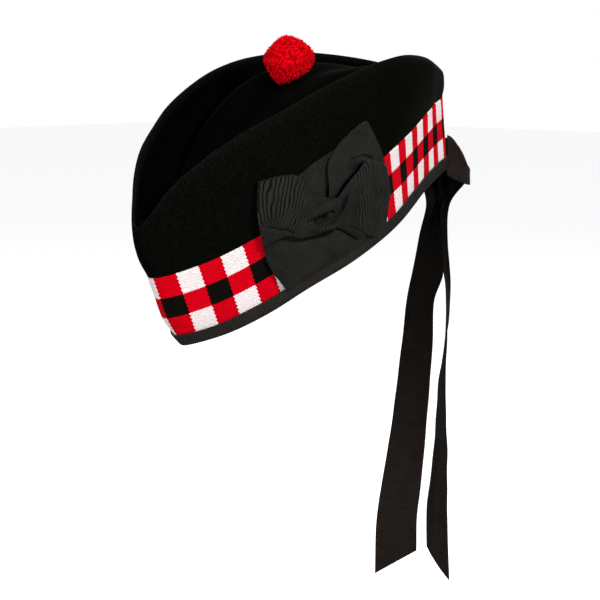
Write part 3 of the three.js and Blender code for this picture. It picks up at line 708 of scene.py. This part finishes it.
# The knot: the ribbon's end drawn through the middle and twisted, so that it lies like a
# short rope across the roots of the loops. Rows: along, up, lift.
KNOT_LINE = [
    (-32.0, 2.0, 6.6), (-24.0, 0.6, 7.8), (-15.0, -0.8, 8.8), (-8.0, -0.8, 9.4),
    (-2.0, 1.8, 9.4), (2.4, 6.4, 8.8), (4.8, 11.0, 7.2),
]
KNOT_LENGTH = 38.0
KNOT_PITCH = 1.5
KNOT_WIDE, KNOT_TALL = 2.5, 1.5          # half its width and height
KNOT_TWIST = math.radians(230)
KNOT_RIB = 0.14
KNOT_CORNERS, CORNER_RISE = 3, 0.4       # of its cross-section, where the folds show
shares = np.linspace(0, 1, 120)
line = smooth_line(KNOT_LINE, shares)
angle = np.linspace(0, 2 * math.pi, 33)[None]
twist = (KNOT_TWIST * shares)[:, None]
run = np.gradient(line[:, :2], axis=0)
run /= np.linalg.norm(run, axis=1, keepdims=True)
swell = np.sin(math.pi * np.clip(shares, 0.03, 0.97))[:, None] ** 0.6
rib = KNOT_RIB * (ribs(shares * KNOT_LENGTH, KNOT_PITCH) - 0.5)[:, None]
wide = (KNOT_WIDE + rib) * swell * np.cos(angle)
corners = CORNER_RISE * swell * np.cos(KNOT_CORNERS * angle)
tall = (KNOT_TALL + rib) * swell * np.sin(angle) + corners
cross = wide * np.cos(twist) - tall * np.sin(twist)
lift = line[:, 2:3] + wide * np.sin(twist) + tall * np.cos(twist)
points = rosette_place(line[:, 0:1] - run[:, 1:2] * cross, line[:, 1:2] + run[:, 0:1] * cross,
                       np.maximum(lift, 2.0))
points[:, -1] = points[:, 0]
uv = np.stack(np.broadcast_arrays(shares[:, None] * KNOT_LENGTH * RIB / KNOT_PITCH,
                                  angle * 4.0), -1)
knot = cloth_mesh("rosette_knot_ribbon", points, uv, look=0.5)
close_ends(knot)
knot.data.materials.append(grosgrain)
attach(knot, "root")
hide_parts("rosette_knot")

# The lowest ribbon fans out from the knot down over the band, with one long crease under the
# front loop.
lower_fan = rosette_ribbon("rosette_lower_ribbon", [
    (-12.0, 3.0, -53.4, 9.0, 0, 0, 2.5, 2.6, 2.0),
    (-11.0, 0.0, -54.2, -3.0, 0, 0, 2.5, 2.8, 2.0),
    (-10.0, -3.0, -52.8, -12.5, 0, 0, 2.8, 3.2, 2.0),
    (-9.0, -5.0, -50.2, -20.5, 0, 0, 3.0, 3.5, 2.0),
    (-7.0, -6.0, -46.8, -28.6, 0, 0, 3.0, 3.6, 2.1),
    (-5.0, -7.0, -36.0, -28.5, 0, 0, 3.0, 3.8, 2.1),
    (-3.0, -7.5, -25.0, -28.5, 0, 0, 3.0, 4.0, 2.1),
    (-1.0, -8.0, -12.0, -28.5, 0, 0, 3.0, 4.0, 2.1),
    (1.0, -8.0, 1.0, -28.5, 0, 0, 3.0, 4.0, 2.1),
    (3.0, -7.5, 14.0, -28.5, 0, 0, 3.0, 3.6, 2.1),
    (5.0, -6.0, 25.0, -28.5, 0, 0, 2.8, 3.0, 2.0),
    (7.0, -4.0, 33.0, -28.0, 0, 0, 2.6, 2.6, 2.0),
], across_ribs=lambda along, up: 100.0 * np.arctan2(up - 50.0, along - 45.0),
    pitch=1.6, rib_height=0.5, wander=0.35, creases=[
        ([(-41.0, 7.0), (-34.2, 1.6), (-28.7, -2.0), (-20.5, -4.4), (-13.0, -6.4), (-6.0, -6.0)],
         3.0, 1.7),
        ([(-4.7, -7.6), (1.0, -15.4), (7.7, -23.2)], 1.9, 0.9)],
    seed=2, steps=400, across=90)
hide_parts("rosette_lower_fan")

# A small fold of it turned up like a leaf, below the knot.
rosette_ribbon("rosette_leaf_fold_ribbon", [
    (-5.5, -6.8, -3.5, -3.5, 0, 0, 5.0, 5.6, 5.0),
    (-1.8, -10.8, 3.0, -8.2, 0, 0, 5.0, 6.0, 4.6),
    (1.4, -14.4, 8.0, -13.0, 0, 0, 5.0, 5.8, 4.2),
    (5.0, -18.6, 12.5, -18.5, 0, 0, 4.6, 5.2, 3.8),
    (8.4, -22.6, 16.5, -23.0, 0, 0, 3.8, 4.2, 3.4),
], across_ribs=lambda along, up: 0.8 * along + 0.6 * up, pitch=1.3, rib_height=0.12,
    wander=0.2, fade=lambda along, up: 0.4 + 0 * along, seed=9, steps=70, across=30)

# The flat fold that shows between the front loop and the top loop.
top_fold = rosette_ribbon("rosette_top_fold_ribbon", [
    (-13.0, 7.0, -24.0, 34.5, 0, 0, 2.6, 2.4, 2.0),
    (-10.5, 9.0, -12.5, 35.4, 0, 0, 2.8, 2.8, 2.0),
    (-9.0, 11.0, -5.5, 36.9, 0, 0, 2.8, 3.0, 2.1),
    (-8.0, 13.2, 2.5, 37.6, -0.8, 0, 2.8, 3.0, 2.3),
    (-6.4, 14.2, 12.0, 38.0, -1.6, 0, 2.6, 2.8, 2.3),
], across_ribs=lambda along, up: 0.72 * along + 0.7 * up, pitch=1.35, rib_height=0.3,
    wander=0.3, fade=lambda along, up: 0.8 + 0 * along, seed=3, steps=120, across=110)
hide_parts("rosette_top_fold")

# The top loop stands up to a point, with its near edge rolled under.
top_loop = rosette_ribbon("rosette_top_loop_ribbon", [
    (-7.4, 12.0, -5.5, 10.5, 0, 0, 5.6, 5.0, 4.0),
    (-7.0, 15.5, -0.8, 13.4, 0, 0, 6.4, 6.0, 4.6),
    (-5.2, 19.5, 6.0, 17.6, 0, 0, 6.8, 6.8, 4.8),
    (-2.8, 24.7, 14.5, 20.6, 0, 0, 6.8, 7.0, 4.8),
    (-0.4, 29.5, 23.0, 22.8, 0, 0, 6.6, 7.2, 4.6),
    (1.9, 33.3, 33.0, 20.0, 0, 0, 6.0, 7.2, 3.6),
    (5.1, 35.8, 42.0, 14.5, 0, 0, 5.4, 6.8, 2.6),
    (9.0, 38.0, 45.9, 10.5, 0, 0, 4.8, 6.2, 2.2),
    (13.7, 39.8, 45.4, 18.0, 0, 0, 4.4, 5.6, 2.2),
    (20.0, 41.3, 44.4, 24.5, 0, 0, 4.0, 5.0, 2.3),
    (27.0, 42.4, 43.4, 30.5, 0, 0, 3.6, 4.4, 2.4),
    (34.0, 42.5, 42.6, 36.3, 0, 0, 3.4, 3.8, 2.6),
    (40.2, 42.2, 42.0, 40.6, 0, 0, 3.2, 3.3, 2.8),
], across_ribs=lambda along, up: up - 0.28 * along, pitch=1.4, rib_height=0.22, wander=0.3,
    fade=lambda along, up: np.clip(0.15 + (along + 1.2 * up - 45.0) / 60.0, 0.15, 0.6),
    creases=[
        ([(16.8, 29.6), (20.5, 28.4), (25.5, 27.2), (29.5, 23.6), (31.5, 20.0)], 1.8, 0.7)],
    rolled=3.0, seed=4, steps=240, across=130)
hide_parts("rosette_top_loop")

# The front loop, widest at its tip, with a deep hollow where it goes under the knot.
front_loop = rosette_ribbon("rosette_front_loop_ribbon", [
    (-3.0, -4.0, 0.0, 9.0, 0, 0, 5.0, 6.5, 5.0),
    (-10.8, -5.0, -5.5, 14.0, 0, 0, 6.0, 7.0, 6.6),
    (-18.5, -3.4, -10.5, 18.5, 0, 0, 6.4, 7.2, 6.8),
    (-25.5, -1.2, -15.0, 24.0, 0, 0, 6.6, 7.6, 6.8),
    (-31.5, 1.4, -15.4, 30.0, -0.5, 0, 6.6, 8.0, 6.2),
    (-37.0, 6.0, -15.5, 35.5, -1.0, 0, 6.4, 7.8, 5.4),
    (-43.0, 7.0, -23.0, 39.6, -2.2, 0, 5.6, 7.0, 4.8),
    (-48.6, 6.8, -31.0, 42.0, -2.9, 0, 4.8, 5.8, 4.4),
    (-52.8, 6.4, -38.8, 43.4, -3.6, 0, 4.2, 4.8, 4.0),
], across_ribs=lambda along, up: (
        along - 1.1 * np.minimum(up - 20.0, 0)
        - (0.35 + 0.018 * (along + 45.0)) * np.maximum(up - 20.0, 0)),
    pitch=2.35, rib_height=0.75, wander=1.1,
    fade=lambda along, up: np.clip((-12.0 - along) / 14.0, 0.2, 1.0),
    pit=(-15.6, 5.4, 4.0, 9.0), rolled=0.5, fold_back=0.35, creases=[
        ([(-24.0, 8.4), (-17.0, 7.6), (-10.0, 6.6), (-5.0, 5.6)], 2.6, 0.8),
        ([(-46.5, 17.0), (-41.5, 12.6), (-37.5, 10.8), (-34.5, 6.0)], 1.5, 0.8)],
    seed=5, steps=200, across=120)
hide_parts("rosette_front_loop")

# The back loop crosses over the others and carries the knot.
back_loop = rosette_ribbon("rosette_back_loop_ribbon", [
    (-5.5, -4.4, -7.0, 8.6, 0, 0, 6.0, 7.0, 8.0),
    (-2.0, -6.6, -3.0, 12.6, 0, 0, 6.0, 7.2, 8.6),
    (2.5, -9.1, 3.0, 16.4, 0, 0, 6.0, 7.4, 9.0),
    (6.5, -12.6, 9.5, 19.4, 0, 0, 5.8, 7.4, 9.2),
    (10.0, -16.8, 16.0, 21.8, 0, 0, 5.4, 7.4, 9.0),
    (13.5, -21.4, 22.5, 23.8, 0.5, 0, 5.0, 7.4, 8.4),
    (18.0, -25.5, 27.5, 23.4, 1.0, 0, 4.4, 7.0, 7.4),
    (24.0, -28.0, 33.0, 19.5, 2.0, 0, 3.8, 6.4, 6.0),
    (30.0, -28.5, 39.0, 15.0, 3.0, 0.5, 3.2, 5.4, 4.6),
    (36.2, -27.0, 45.9, 9.5, 3.6, 1.0, 2.6, 3.8, 3.0),
], across_ribs=lambda along, up: along - 0.3 * up, pitch=2.3, rib_height=1.05, wander=1.8,
    fade=lambda along, up: np.clip((along - 3.0 - 0.25 * up) / 9.0, 0.2, 1.0),
    rolled=1.0, fold_back=0.3, creases=[
        ([(3.0, 10.6), (-0.6, 5.6), (-3.8, 2.6)], 4.5, 0.8),
        ([(4.5, 2.5), (0.5, -0.5), (-3.5, -2.5)], 1.8, 0.7)],
    seed=6, steps=240, across=120)
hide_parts("rosette_back_loop")

# A narrow turn of the ribbon's end over the front loop's root.
rosette_ribbon("rosette_inner_strip_ribbon", [
    (-24.0, 9.0, -23.4, 12.0, 0, 0, 6.6, 7.4, 7.0),
    (-20.0, 9.0, -19.0, 14.0, 0, 0, 7.2, 8.8, 7.8),
    (-15.0, 8.8, -14.0, 15.0, 0, 0, 7.4, 9.2, 8.2),
    (-10.0, 8.6, -9.2, 15.0, 0, 0, 7.4, 9.2, 8.2),
    (-6.0, 7.6, -4.6, 14.0, 0, 0, 7.4, 8.8, 8.2),
    (-2.6, 6.0, 0.0, 12.5, 0, 0, 7.2, 8.2, 8.0),
], across_ribs=lambda along, up: along - 0.9 * up, pitch=1.5, rib_height=0.4, wander=0.5,
    fade=lambda along, up: 0.8 + 0 * along, seed=12, steps=130, across=30)

# ---- Toorie --------------------------------------------------------------------------
# A tight round pompom of red wool yarn, bound at its middle and clipped, sewn through the
# crease on the top of the cap.
low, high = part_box("toorie")
toorie_centre = np.array((low + high) / 2) * 1000
TOORIE_RADIUS = 16.4
STRANDS = 5200
STRAND_FROM = 0.72       # the share of the radius where the strands leave the tight heart
STRAND_RADII = np.array([0.42, 0.42, 0.22])
HEART_SHARE = 0.9
# Sides that the shears and the felt's fold have left flat: the way they face and how far out.
FLATS = [
    (0.35, 0.34, -0.87, 0.75), (-0.53, -0.50, 0.68, 0.88), (0.36, 0.35, 0.87, 0.93),
    (-0.60, -0.57, -0.55, 0.90),
]
FLAT_EDGE = 9.0          # how sharply a flat side meets the round
LUMPS = 0.03             # how far it is from round elsewhere, and the size of its lumps,
LUMP_SIZE = 0.8          # both as shares of the radius
STRAY = 0.03             # how far the strands are from even spacing,
BEND = 0.16              # and from straight


def ball_reach(ways):
    """How far the clipped ball stands out in each direction: lumpy, and flat on some sides."""
    power = (0.98 + LUMPS * ripple(ways, LUMP_SIZE, 12)) ** -FLAT_EDGE
    for *flat, distance in FLATS:
        power = power + (np.maximum(ways @ np.array(flat), 0) / distance) ** FLAT_EDGE
    return TOORIE_RADIUS * power ** (-1 / FLAT_EDGE)


# The strands point evenly all round, in a golden spiral, each a little astray.
random = np.random.default_rng(11)
k = np.arange(STRANDS)
z = 1 - (2 * k + 1) / STRANDS
turn = k * math.pi * (3 - math.sqrt(5))
level = np.sqrt(1 - z * z)
ways = np.stack([level * np.cos(turn), level * np.sin(turn), z], -1)
ways += random.normal(0, STRAY, ways.shape)
ways /= np.linalg.norm(ways, axis=1, keepdims=True)
reach = ball_reach(ways) * (1 + random.uniform(-0.03, 0.01, STRANDS))
bend = random.normal(0, BEND, ways.shape)
side = np.cross(ways, random.normal(size=ways.shape))
side /= np.linalg.norm(side, axis=1, keepdims=True)
other = np.cross(ways, side)

# Each strand is a three-sided tube of three rings along its bent spine.
shares = np.array([STRAND_FROM, 0.86, 1.0])
angles = np.array([0.0, 2.1, 4.2])
bent = bend[:, None] * ((shares - STRAND_FROM) ** 2)[:, None] * 2
spine = (ways[:, None] * shares[:, None] + bent) * reach[:, None, None]
across = (side[:, None, None] * np.cos(angles)[:, None]
          + other[:, None, None] * np.sin(angles)[:, None])
points = (spine[:, :, None] + STRAND_RADII[:, None, None] * across).reshape(-1, 3)
first = np.arange(STRANDS)[:, None] * 9
sides = [(n + c, n + (c + 1) % 3, n + 3 + (c + 1) % 3, n + 3 + c) for n in (0, 3)
         for c in range(3)]
tip, root = (6, 7, 8), (2, 1, 0)
faces = [tuple(f) for face in (*sides, tip, root) for f in (first + np.array([face])).tolist()]
mesh = bpy.data.meshes.new("toorie_wool")
mesh.from_pydata(((points + toorie_centre) * 0.001).tolist(), [], faces)
toorie = bpy.data.objects.new("toorie_wool", mesh)
bpy.context.scene.collection.objects.link(toorie)
bpy.ops.object.select_all(action="DESELECT")
bpy.ops.mesh.primitive_ico_sphere_add(subdivisions=5, radius=1.0)
heart = bpy.context.object
for vertex in heart.data.vertices:
    way = np.array(vertex.co.normalized())
    vertex.co = (way * ball_reach(way[None])[0] * HEART_SHARE + toorie_centre) * 0.001
toorie.select_set(True)
bpy.context.view_layer.objects.active = toorie
bpy.ops.object.join()

# Soft wool yarn, dyed scarlet: matte, each strand lit at its tip and deep red between. The
# noise varies it over 2 mm, the thickness of the yarn.
wool = new_material("wool_yarn_scarlet")
place = add_node(wool, "TexCoord")
strands = add_node(wool, "TexNoise", {
    "Vector": place.outputs["Object"], "Scale": 500.0, "Detail": 3.0})
shade = add_node(wool, "ValToRGB", {"Fac": strands})
dark, light = shade.color_ramp.elements
dark.position, dark.color = 0.36, hex_colour("#b0000a")
light.position, light.color = 0.68, hex_colour("#f80820")
surface = add_node(wool, "BsdfPrincipled", {
    "Base Color": shade, "Roughness": 0.9, "Specular IOR Level": 0.02})
add_node(wool, "OutputMaterial", {"Surface": surface})
toorie.data.materials.append(wool)
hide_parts("toorie")
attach(toorie, "root")

# ---- Tails ---------------------------------------------------------------------------
# The two ends of the ribbon that draws the cap up at the back, gathered under the bow and
# hanging to the shoulders, each cut on a slant. Thin, so their edges curl a little.
TAIL_THICKNESS = 0.6
TAIL_WIDTH = 26.5
CUT_SHARE = 0.14         # the share of the length over which the slant of the cut comes in
GATHER_DEPTH = 2.2       # how deep the folds are where the ribbon is gathered,
GATHER_FOLDS = 2.5       # and how many of them lie side by side
EDGE_CURL = 0.25
CURL_SIZE = 22.0
# Rows: x, y, z of the middle, turn in degrees, width, and how far the middle stands back.
RIGHT_TAIL_ROWS = [
    (-2.0, 131.0, 54.0, 10, 25.0, 1.0), (-3.5, 130.4, 46.0, 14, 25.0, 2.0),
    (-5.5, 128.6, 38.5, 16, 21.5, 4.0), (-6.2, 125.8, 26.5, 5, 13.0, 4.5),
    (-8.4, 124.8, 7.0, 0, 20.5, 3.5), (-11.3, 124.3, -16.0, 5, 25.0, 2.0),
    (-15.2, 121.4, -35.0, -5, 25.5, 2.0), (-17.2, 120.9, -60.0, 2, 26.0, 1.5),
    (-18.8, 118.3, -90.0, 5, 26.5, 1.5), (-21.0, 114.6, -126.5, 12, 27.0, 1.0),
    (-22.6, 111.0, -153.0, 22, 27.0, 1.0), (-23.7, 107.5, -177.0, 32, 27.0, 0.5),
    (-23.9, 106.9, -204.2, 40, 27.0, 0.0),
]
LEFT_TAIL_ROWS = [
    (2.0, 132.6, 53.0, 30, 22.0, 0.5), (0.0, 134.2, 44.0, 50, 19.0, 1.5),
    (-9.3, 135.6, 27.5, 100, 10.0, 1.5), (-10.6, 137.0, 3.0, 120, 12.0, 1.5),
    (-6.0, 136.4, -26.0, 126, 25.0, 1.0), (-4.0, 133.1, -58.0, 133, 26.0, 0.8),
    (-3.0, 127.8, -86.5, 141, 26.0, 0.8), (-2.3, 126.1, -110.5, 146, 26.0, 0.8),
    (-1.8, 125.1, -129.0, 151, 26.0, 1.0), (-1.8, 123.1, -152.0, 157, 26.0, 1.0),
    (-2.2, 122.0, -173.0, 163, 26.0, 1.0), (-2.0, 122.8, -204.5, 166, 26.0, 1.0),
]

# Soft black petersham: the same ribbed weave as the binding but thinner and older, gone a dull
# brown. Its colour is painted darker towards the top, to near black by the bow: a painted shade
# from the cap above it.
SHADE_FROM, SHADE_TO = 0.055, -0.16        # heights in metres
petersham = recoloured_grosgrain("petersham_ribbon_black_brown", "#0b0807", "#201a15")
nodes = petersham.node_tree.nodes
shade = next(node for node in nodes if node.type == "VALTORGB")
surface = next(node for node in nodes if node.type == "BSDF_PRINCIPLED")
place = add_node(petersham, "TexCoord")
axes = add_node(petersham, "SeparateXYZ", {"Vector": place.outputs["Object"]})
# Painted shade: the colour darkens towards the top, up under the cap.
shaded_under_cap = add_node(petersham, "MapRange", {
    "Value": axes.outputs["Z"], "From Min": SHADE_FROM, "From Max": SHADE_TO, "To Min": 0.03,
    "To Max": 1.0})
cloth = add_node(petersham, "VectorMath", {0: shade, "Scale": shaded_under_cap}, operation="SCALE")
petersham.node_tree.links.new(cloth.outputs[0], surface.inputs["Base Color"])


def tail_ribbon(name, rows, slant, seed):
    """A hanging ribbon tail, cut on a slant at its end."""
    steps, across = 200, 22
    row = smooth_line(rows, np.linspace(0, 1, steps))
    middle = row[:, None, :3]
    turn = np.radians(row[:, 3])
    width, stands_back = row[:, 4, None, None], row[:, 5, None, None]
    q = np.linspace(-1, 1, across)[None, :, None]        # from edge to edge
    wide = np.stack([np.cos(turn), np.sin(turn), 0 * turn], -1)[:, None]
    back = np.stack([-np.sin(turn), np.cos(turn), 0 * turn], -1)[:, None]
    gather = np.clip((TAIL_WIDTH - width) / TAIL_WIDTH, 0, 1)
    folds = GATHER_DEPTH * gather * np.cos(GATHER_FOLDS * math.pi * q + seed)
    points = middle + wide * q * width / 2 + back * (stands_back * (0.5 - q * q) + folds)
    cut_from = steps * (1 - CUT_SHARE)
    cut = np.clip((np.arange(steps) - cut_from) / (steps * CUT_SHARE), 0, 1)[:, None, None]
    points = points + UP * cut * slant / 2 * q
    curl = EDGE_CURL * ripple(points, CURL_SIZE, seed) * np.abs(q[..., 0]) ** 2
    points = points + back * curl[..., None]
    length = run_length(row[:, :3])
    uv = np.stack(np.broadcast_arrays(length[:, None], TAIL_WIDTH / 2 * (q[..., 0] + 1)), -1)
    piece = cloth_mesh(name, points * 0.001, uv, look=0.4)
    thicken(piece, TAIL_THICKNESS * 0.001, 0)
    piece.data.materials.append(petersham)
    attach(piece, "root")
    return piece


left_tail = tail_ribbon("tail_left_ribbon", LEFT_TAIL_ROWS, 20.0, 21)
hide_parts("tail_left")
right_tail = tail_ribbon("tail_right_ribbon", RIGHT_TAIL_ROWS, 15.8, 22)
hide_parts("tail_right")

# ---- Bow -----------------------------------------------------------------------------
# A flat bow of the same ribbon at the cap's back: two loops that stand on edge against the
# band, sewn down under a short wrap round the middle.
WRAP_SIZE = (4.8, 2.7, 11.0)             # half its width, depth and height
WRAP_LEAN = 0.2
WRAP_LENGTH = 50.0                       # of ribbon, once round
WRAP_PINCH = 0.12                        # the share by which it is lower at its sides
WRAP_PLEAT, LOOP_PLEAT = 0.25, 0.3       # how deep the wrap and the loops are pleated
PLEAT_AT, PLEAT_REACH = 5.0, 14.0        # where out from the knot, and how far to each side
# Rows, out from the knot, round the tip and back: x, y, lower edge, upper edge.
BOW_ROWS = [
    (2.6, 126.6, 47.4, 73.4), (4.6, 127.4, 46.2, 72.6), (7.0, 128.2, 44.9, 70.5),
    (9.5, 129.0, 43.9, 67.0), (12.0, 129.7, 43.0, 63.0), (14.4, 130.3, 42.3, 58.6),
    (16.4, 130.8, 41.7, 54.2), (17.1, 131.8, 41.6, 52.0), (16.2, 132.9, 42.0, 52.0),
    (13.5, 133.4, 43.4, 55.0), (9.5, 134.0, 46.0, 61.0), (4.6, 134.6, 50.0, 66.5),
]

# The same ribbon on the bow, painted paler and browner: a painted light where the cap shades it.
worn_and_painted_light = recoloured_grosgrain("petersham_ribbon_painted_light", "#181412", "#322b27")


def squarish(value):
    """A sine or cosine pushed out from round towards square."""
    return np.sign(value) * np.abs(value) ** 0.75


low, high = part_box("bow_knot")
middle = np.array((low + high) / 2) * 1000
around_steps, across_steps = 72, 15
half_width, half_depth, half_height = WRAP_SIZE
turn = np.arange(around_steps + 1) / around_steps
angle = turn[:-1] * 2 * math.pi
share = np.linspace(-1, 1, across_steps)
pinch = 1 - WRAP_PINCH * share**2
z = half_height * pinch[None] * squarish(np.cos(angle))[:, None]
y = half_depth * pinch[None] * squarish(np.sin(angle))[:, None] - WRAP_LEAN * z
y = y + WRAP_PLEAT * np.sin(4 * math.pi * share)[None] * np.abs(np.sin(angle))[:, None]
x = half_width * share[None] + 0 * z
points = np.stack([x, y, z], -1) + middle
uv = np.stack(np.meshgrid(turn * WRAP_LENGTH, TAIL_WIDTH / 2 * (share + 1), indexing="ij"), -1)
wrap = cloth_mesh("bow_knot_wrap", points * 0.001, uv, ring=True, look=0.5)
close_ends(wrap)
wrap.data.materials.append(worn_and_painted_light)
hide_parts("bow_knot")
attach(wrap, "root")

for side, node in ((1, "bow_loop_left"), (-1, "bow_loop_right")):
    row = smooth_line(BOW_ROWS, np.linspace(0, 1, 90))
    from_knot, back, lower, upper = row.T[..., None]
    q = np.linspace(0, 1, 18)[None]                      # from the lower edge to the upper
    near = np.clip(1 - np.abs(from_knot - PLEAT_AT) / PLEAT_REACH, 0, 1)
    run = np.gradient(row[:, :2], axis=0)
    run /= np.linalg.norm(run, axis=1, keepdims=True)
    fold = LOOP_PLEAT * near * np.sin(2 * math.pi * q + 1.0)
    x = from_knot + run[:, 1:2] * fold
    y = back - run[:, 0:1] * fold
    z = lower * (1 - q) + upper * q
    points = np.stack(np.broadcast_arrays(side * x, y, z), -1)
    length = run_length(row[:, :2])
    uv = np.stack(np.broadcast_arrays(length[:, None], TAIL_WIDTH * q), -1)
    loop = cloth_mesh(node + "_ribbon", points * 0.001, uv, look=0.5)
    thicken(loop, TAIL_THICKNESS * 0.001, 0)
    loop.data.materials.append(worn_and_painted_light)
    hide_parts(node)
    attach(loop, "root")
    height = float(np.mean(upper - lower))

# ---- Floor, light and camera ---------------------------------------------------------
# A plain pale floor well below the tails and even light from a white room. The key light
# comes from the wearer's left, with softer ones in front, on the right and high behind.
FLOOR_HEIGHT = -0.24
bpy.ops.object.select_all(action="DESELECT")
bpy.ops.mesh.primitive_plane_add(size=12.0, location=(0, 0, 0))
floor = bpy.context.object
floor.name = "floor"
floor.data.transform(Matrix.Translation((0, 0, FLOOR_HEIGHT)))

# Matt white paper, lit from within where it is seen so that it stays as pale as the room.
paper = new_material("pale_floor_paper")
seen = add_node(paper, "LightPath")
glow = add_node(paper, "MapRange", {
    "Value": seen.outputs["Is Camera Ray"], "To Min": 0.0, "To Max": 0.9})
surface = add_node(paper, "BsdfPrincipled", {
    "Base Color": hex_colour("#b0b0b0"), "Roughness": 0.9, "Specular IOR Level": 0.1,
    "Emission Color": (1, 1, 1, 1), "Emission Strength": glow})
add_node(paper, "OutputMaterial", {"Surface": surface})
floor.data.materials.append(paper)

# White where it is seen, and much softer as light on the cap.
room = bpy.data.worlds.new("white_room")
room.use_nodes = True
room.node_tree.nodes.clear()
seen = add_node(room, "LightPath")
level = add_node(room, "MapRange", {
    "Value": seen.outputs["Is Camera Ray"], "To Min": 0.08, "To Max": 1.0})
walls = add_node(room, "Background", {"Color": (1, 1, 1, 1), "Strength": level})
add_node(room, "OutputWorld", {"Surface": walls})
bpy.context.scene.world = room


def soft_light(name, place, size, power):
    """A square area light at place that shines on the cap."""
    lamp = bpy.data.lights.new(name, "AREA")
    lamp.size = size
    lamp.energy = power
    holder = bpy.data.objects.new(name, lamp)
    bpy.context.scene.collection.objects.link(holder)
    holder.location = place
    holder.rotation_euler = (-Vector(place)).to_track_quat("-Z", "Y").to_euler()


soft_light("key", (2.2, -0.35, 1.15), 0.5, 78.0)
soft_light("fill", (0.5, -2.2, 0.35), 1.2, 30.0)
soft_light("side", (-1.7, -1.5, 0.5), 1.0, 16.0)
soft_light("back", (-0.5, 1.5, 1.9), 0.9, 60.0)

# A long lens, level with the cap and off its front left.
AZIMUTH, ELEVATION = math.radians(44.1), math.radians(3.0)
DISTANCE = 3.0
REFERENCE = Vector((0, -0.01713, 0.04661))       # in the middle of the crown
AIM_RIGHT, AIM_DOWN = 0.00674, 0.0719            # from it to the middle of the view
right = Vector((math.cos(AZIMUTH), math.sin(AZIMUTH), 0))
away = Vector((math.sin(AZIMUTH) * math.cos(ELEVATION), -math.cos(AZIMUTH) * math.cos(ELEVATION),
               math.sin(ELEVATION)))
above = away.cross(right)
camera_data = bpy.data.cameras.new("camera")
camera_data.lens = 288.5
camera_data.sensor_width = 36.0
camera = bpy.data.objects.new("camera", camera_data)
bpy.context.scene.collection.objects.link(camera)
camera.location = REFERENCE + away * DISTANCE
aim = REFERENCE + right * AIM_RIGHT - above * AIM_DOWN
camera.rotation_euler = (aim - camera.location).to_track_quat("-Z", "Y").to_euler()
bpy.context.scene.camera = camera
bpy.context.scene.view_settings.view_transform = "Standard"
